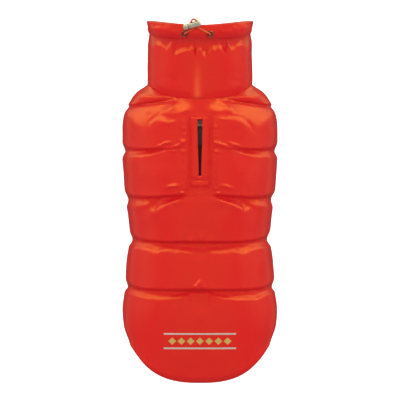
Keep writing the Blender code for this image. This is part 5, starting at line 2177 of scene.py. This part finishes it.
@dataclass
class Drawstring:
    """The drawcord between its eyelets, through the two-hole cord lock."""

    form: CoatForm
    tube: NeckTube
    cord_radius: float = 0.95
    lock_centre: tuple = (-5.4, 83.6)
    lock_turn: float = math.radians(15.0)
    lock_radius: float = 3.0
    lock_lift: float = 0.8
    lock_foot: float = 2.0
    bore_spacing: float = 5.4
    bore_rise: float = math.radians(25.0)
    casing_outer: float = 5.4
    casing_dome: tuple = (0.95, 0.8, 0.6)
    cord_gap: float = 0.4
    eyelet_depth: float = 0.1
    eyelet_lift: float = 1.6
    spans: tuple = ((3.4, 0.22, 0.6), (3.0, 0.62, 0.5))
    lock_entry: float = 1.2
    lock_inside: float = 1.5
    lock_exit: float = 0.5
    loop_height: float = 2.9
    curve_steps: int = 12
    strands: int = 8
    braid_low: float = 0.92
    braid_rise: float = 0.12
    twist_length: float = 5.2
    ring_spacing: float = 0.22
    sides: int = 20
    path_step: int = 6

    def casing_surface(self, x: float, y: float) -> tuple[Vector, Vector]:
        """Find the casing's outside at a place over the back.

        Args:
            x: the place across.
            y: the place along.

        Returns:
            The point and its outward direction.
        """
        form = self.form
        angle = np.array([math.asin(x / (form.casing.half_width + self.casing_outer))])
        seam_y, rim_y = form.casing.y(angle), form.rim.y(angle)
        share = reach(y - seam_y, rim_y - seam_y)
        shift = self.cord_gap * (1.0 - share) * 0.5
        point, normal = form.tube_inner(form.casing, form.rim, share, angle, shift)
        most, place, fullness = self.casing_dome
        dome = math.sin(math.pi * min(float(share[0]), most) ** place) ** fullness
        wall = form.seam_wall + self.tube.casing_base + self.tube.casing_puff * dome
        return Vector(point[0] + normal[0] * wall), Vector(normal[0])

    def lock_frame(self) -> tuple[Vector, Vector, Vector]:
        """Place the cord lock over the casing.

        Returns:
            Its middle, its long direction and the direction of its bores.
        """
        surface, _ = self.casing_surface(self.lock_centre[0], self.lock_centre[1] - self.lock_foot)
        middle = Vector((*self.lock_centre, surface.z + self.lock_radius + self.lock_lift))
        along = Vector((math.cos(self.lock_turn), math.sin(self.lock_turn), 0.0))
        level = Vector((-math.sin(self.lock_turn), math.cos(self.lock_turn), 0.0))
        return middle, along, level * math.cos(self.bore_rise) + Vector((0.0, 0.0, math.sin(self.bore_rise)))

    def route(self) -> list[Vector]:
        """Lead the cord from the left eyelet through the lock, round its loop and back to the right eyelet.

        Returns:
            The route's own points.
        """
        middle, along, bore = self.lock_frame()
        points: list[Vector] = []
        for side, place in zip((-1, 1), self.tube.eyelets):
            surface, normal = self.casing_surface(*place)
            in_lock = middle + along * side * self.bore_spacing / 2
            leaving = in_lock - bore * (self.lock_radius + self.lock_entry)
            half = [surface + normal * (self.cord_gap + self.eyelet_depth), surface + normal * self.eyelet_lift]
            half += [(surface + normal * height).lerp(leaving, share) + Vector((0.0, 0.0, lift))
                     for height, share, lift in self.spans]
            half += [leaving, in_lock - bore * self.lock_inside, in_lock + bore * self.lock_inside,
                     in_lock + bore * (self.lock_radius + self.lock_exit)]
            points += half if side < 0 else [middle + bore * (self.lock_radius + self.loop_height), *half[::-1]]
        return points

    def smooth_route(self) -> list[Vector]:
        """Draw a smooth curve through the route's own points.

        Returns:
            Points at an even spacing along it.
        """
        points = self.route()
        fine = []
        ends = [points[0] * 2 - points[1], *points, points[-1] * 2 - points[-2]]
        for a, b, c, d in zip(ends, ends[1:], ends[2:], ends[3:]):
            for k in range(self.curve_steps):
                t = k / self.curve_steps
                fine.append(0.5 * (2 * b + (c - a) * t + (2 * a - 5 * b + 4 * c - d) * t * t
                                   + (3 * b - a - 3 * c + d) * t**3))
        fine.append(points[-1])
        lengths = np.concatenate([[0.0], np.cumsum([(q - p).length for p, q in zip(fine, fine[1:])])])
        count = max(2, round(lengths[-1] / self.ring_spacing))
        return [Vector([float(np.interp(place, lengths, [point[axis] for point in fine])) for axis in range(3)])
                for place in np.linspace(0.0, lengths[-1], count + 1)]

    def braid(self, turn: float, place: float) -> float:
        """Work out the braided cord's radius.

        Args:
            turn: the angle round the cord.
            place: the place along it.

        Returns:
            The radius.
        """
        around, along = self.strands / 2 * turn, 2 * FULL_TURN * place / self.twist_length
        ridge = abs(math.sin(around + along)) * abs(math.sin(around - along))
        return self.cord_radius * (self.braid_low + self.braid_rise * ridge)

    def cord(self) -> tuple[bpy.types.Object, list[Vector], float]:
        """Make the braided cord.

        Returns:
            The cord, its route in metres and its length in metres.
        """
        path = self.smooth_route()
        length = sum((q - p).length for p, q in zip(path, path[1:]))
        across = (path[1] - path[0]).normalized().orthogonal().normalized()
        turns = [FULL_TURN * j / self.sides for j in range(self.sides)]
        rings = []
        for k, point in enumerate(path):
            ahead = (path[min(k + 1, len(path) - 1)] - path[max(k - 1, 0)]).normalized()
            across = (across - ahead * across.dot(ahead)).normalized()
            up = ahead.cross(across)
            rings.append([point + (across * math.cos(turn) + up * math.sin(turn))
                          * self.braid(turn, k * self.ring_spacing) for turn in turns])
        bm = bmesh.new()
        joined(bm, rings)
        route = [p * MM for p in path[::self.path_step] + path[-1:]]
        return solid_of("drawcord_braid", bm, Finish.CORD), route, length * MM


# -------- sewing

@dataclass
class Sewing:
    """The stitched seams over the coat."""

    form: CoatForm
    slit: Slit
    repeat: Repeat
    pitch: float = 2.7
    stitch: tuple = (0.42, 2.1, 0.34)
    unevenness: float = 0.08
    sink: float = 0.05
    stations: int = 260
    edge_share: float = 0.985
    slit_margin: float = 0.5
    slit_line_gap: float = 1.3
    side_stations: int = 90
    end_stations: int = 24

    def quilting(self) -> list[Array]:
        """Lay lines along the quilting seams, broken at the leash slit.

        Returns:
            The lines.
        """
        form = self.form
        lines = []
        for seam in form.seams:
            edge = float(form.side_angle(np.array(seam.side))) * self.edge_share
            angle = np.linspace(-edge, edge, self.stations)
            y = form.quilt_y(seam, angle)
            point, normal = form.body_inner(angle, y)
            line = point + normal * (seam.wall + self.sink)
            inside = self.slit.covers(line[:, 0], y, self.slit_margin)
            runs = np.split(np.arange(self.stations), np.flatnonzero(np.diff(inside.astype(int))) + 1)
            lines += [line[run] for run in runs if len(run) > 4 and not inside[run[0]]]
        return lines

    def around_slit(self) -> Array:
        """Lay the line of stitches round the leash slit.

        Returns:
            The line.
        """
        form, slit = self.form, self.slit
        half = slit.half_width + self.slit_line_gap
        front, end = slit.front + self.slit_line_gap, slit.end - self.slit_line_gap
        corners = ((half, front), (half, end), (-half, end), (-half, front), (half, front))
        counts = (self.side_stations, self.end_stations) * 2
        x, y = np.concatenate([np.linspace(a, b, n) for a, b, n in zip(corners, corners[1:], counts)]).T
        point, normal = form.body_inner(form.middle_angle(x, y), y)
        return point + normal * (form.seam_wall + self.sink)

    def build(self) -> bpy.types.Object:
        """Make all stitches as one piece."""
        lines = [*self.quilting(), self.around_slit()]
        return self.repeat.along("seam_stitches", lines, Finish.SEWING, self.pitch, self.stitch, self.unevenness, 6, 7)


# -------- studio

# White lights for matt surfaces, as rows of (name, place, size, power) in metres and watts.
WHITE_LIGHTS = (
    ("overhead", (0.0, 0.0, 2.2), (3.0, 3.0), 41.0),
    *((f"side_{side}", (side * 1.6, 0.0, 0.25), (0.5, 1.6), 6.5) for side in (-1, 1)),
    *((f"shoulder_{side}", (side * 1.25, 1.15, 0.15), (1.0, 0.5), 5.0) for side in (-1, 1)),
    ("front", (0.0, 1.7, 0.9), (2.4, 1.0), 4.0),
    ("behind", (0.0, -1.8, 0.7), (2.4, 0.8), 1.2),
)

# Gold lights for shiny surfaces in an arc round the neck end: name, azimuth from +Y, elevation (degrees), power.
ARC_LIGHTS = (
    ("arc_middle", 0, 20, 14), ("arc_left", -32, 16, 13), ("arc_right", 32, 16, 13), ("arc_far_left", -56, 2, 8),
    ("arc_far_right", 56, 2, 8), ("arc_low_left", -50, -13, 4.5), ("arc_low_right", 50, -13, 4.5),
)

# Gold lights below the coat's edges, on both sides: name, place on the right, size, power.
EDGE_LIGHTS = (
    ("rim", (0.56, 0.30, -0.39), (0.36, 0.2), 0.45),
    ("brow", (0.30, 0.58, -0.39), (0.4, 0.2), 0.9),
    ("hem", (0.62, -0.10, -0.40), (0.6, 0.2), 0.22),
)


@dataclass
class Studio:
    """The camera over the coat's back, a pale floor far below it and soft lights."""

    middle: tuple = (0.1, -91.0)
    camera_height: float = 4.98
    lens: float = 450.0
    sensor: float = 36.0
    floor_level: float = -0.45
    floor_half: float = 3.0
    floor_glow: float = 0.55
    world_colour: tuple = (1.0, 0.98, 0.97, 1.0)
    world_rise: tuple = (-0.7, 0.05, 0.10, 0.38)
    world_fall: tuple = (0.6, 0.97, 1.0, 0.45)
    target: tuple = (0.0, -0.09, -0.02)
    white: tuple = (1.0, 0.985, 0.97)
    gold: tuple = (0.88, 1.0, 0.42)
    arc_radius: float = 1.8
    arc_size: tuple = (0.85, 0.45)

    def camera(self) -> None:
        """Make the camera, straight above the back with the neck at the top."""
        data = bpy.data.cameras.new("camera")
        data.lens, data.sensor_width = self.lens, self.sensor
        camera = linked("camera", data)
        camera.location = (self.middle[0] * MM, self.middle[1] * MM, self.camera_height)
        bpy.context.scene.camera = camera

    def light(self, name: str, place: tuple, size: tuple, power: float, matt: bool) -> None:
        """Add a soft light that faces the coat and that the camera doesn't see.

        Args:
            name: its name.
            place: where it stands, in metres.
            size: its width and height.
            power: its power in watts.
            matt: whether it is white and lights matt surfaces, or gold and shows in shiny ones.
        """
        data = bpy.data.lights.new(name, "AREA")
        data.shape = "RECTANGLE"
        data.size, data.size_y = size
        data.energy = power
        data.color = self.white if matt else self.gold
        lamp = linked(name, data)
        lamp.location = place
        lamp.rotation_euler = (Vector(self.target) - Vector(place)).to_track_quat("-Z", "Y").to_euler()
        lamp.visible_camera, lamp.visible_glossy, lamp.visible_diffuse = False, not matt, matt

    def floor(self) -> None:
        """Lay the pale floor."""
        half, level = self.floor_half, self.floor_level
        corners = [(-half, -half, level), (half, -half, level), (half, half, level), (-half, half, level)]
        mesh = bpy.data.meshes.new("floor")
        mesh.from_pydata(corners, [], [(0, 1, 2, 3)])
        shade = Shade("pale_floor")
        colour = shade.mix(shade.noise(shade.object_place(), 3.0), (0.96, 0.96, 0.96, 1.0), (0.98, 0.98, 0.98, 1.0))
        mesh.materials.append(shade.finish({
            "Base Color": colour, "Roughness": 0.9, "Specular IOR Level": 0.0,
            "Emission Color": (1.0, 1.0, 1.0, 1.0), "Emission Strength": self.floor_glow}))
        floor = linked("floor", mesh)
        floor.visible_diffuse = floor.visible_glossy = False

    def room(self) -> None:
        """Make the pale room, which darkens downwards and straight above."""
        world = bpy.data.worlds.new("pale_room")
        world.use_nodes = True
        tree = world.node_tree
        background = tree.nodes["Background"]
        background.inputs["Color"].default_value = self.world_colour
        direction = add_node(tree, "ShaderNodeTexCoord")["Generated"]
        height = add_node(tree, "ShaderNodeSeparateXYZ", None, {0: direction})["Z"]
        ramps = [add_node(tree, "ShaderNodeMapRange", None, {0: height, **dict(enumerate(limits, 1))})[0]
                 for limits in (self.world_rise, self.world_fall)]
        product = add_node(tree, "ShaderNodeMath", {"operation": "MULTIPLY"}, dict(enumerate(ramps)))
        tree.links.new(product[0], background.inputs["Strength"])
        bpy.context.scene.world = world

    def build(self) -> None:
        """Light the scene."""
        bpy.context.scene.view_settings.view_transform = "Standard"
        self.room()
        for name, place, size, power in WHITE_LIGHTS:
            self.light(name, place, size, power, True)
        for name, azimuth, elevation, power in ARC_LIGHTS:
            turn, rise = math.radians(azimuth), math.radians(elevation)
            direction = (math.sin(turn) * math.cos(rise), math.cos(turn) * math.cos(rise), math.sin(rise))
            self.light(name, tuple(self.arc_radius * part for part in direction), self.arc_size, power, False)
        for side in (-1, 1):
            for name, (x, y, z), size, power in EDGE_LIGHTS:
                self.light(f"{name}_{side}", (side * x, y, z), size, power, False)


# -------- assembly

def settle(piece: bpy.types.Object, body: str, slot: str, *nodes: str) -> None:
    """Make a piece ride on a body and hide the nodes it stands for.

    Args:
        piece: the piece.
        body: the body it rides on.
        slot: not used.
        nodes: the nodes of the solids that it replaces.
    """
    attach(piece, body)
    if nodes:
        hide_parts(*nodes)
    log.info("%s rides on %s: %d faces", piece.name, body, len(piece.data.polygons))


def dress_node(name: str, finish: Finish) -> None:
    """Give a node of the solids a finish.

    Args:
        name: the node's name.
        finish: its finish.
    """
    materials = bpy.data.objects[name].data.materials
    materials.clear()
    materials.append(finish.material)


def main() -> None:
    """Build the coat's pieces in order."""
    studio = Studio()
    studio.camera()
    form = CoatForm()
    slit = Slit()
    tube = NeckTube(form)
    repeat = Repeat("rounded solids along lines")

    drawstring = Drawstring(form, tube)
    cord, path, length = drawstring.cord()
    settle(cord, "root", "cord", "drawcord")
    tuple(path[0])
    [tuple(p) for p in path]

    shell = QuiltedBack(form, slit).build()
    settle(shell, "root", "shell", "back_panel")
    belly = BellyPanel(form).build()
    settle(belly, "root", "shell", "belly_panel")
    for piece, node in zip(tube.build(), ("collar", "cord_casing")):
        settle(piece, "root", "shell", node)

    placket = ZipPlacket(form, slit, repeat)
    lips = placket.lips()
    settle(lips, "root", "shell", "zip_placket")
    for piece in placket.teeth():
        settle(piece, "root", "zip_tape")
    settle(placket.slider(), "root", "metal", "zip_slider")
    settle(placket.pull_tab(), "pull_tab", "tab", "zip_pull_tab")

    settle(Sewing(form, slit, repeat).build(), "root", "shell")
    dress_node("zip_tape", Finish.TAPE)
    for name in ("eyelet_left", "eyelet_right"):
        dress_node(name, Finish.BRASS)
    for name in ("cord_lock_barrel", "cord_lock_button"):
        dress_node(name, Finish.CHROME)
    studio.floor()
    studio.build()


if __name__ == "__main__":
    main()
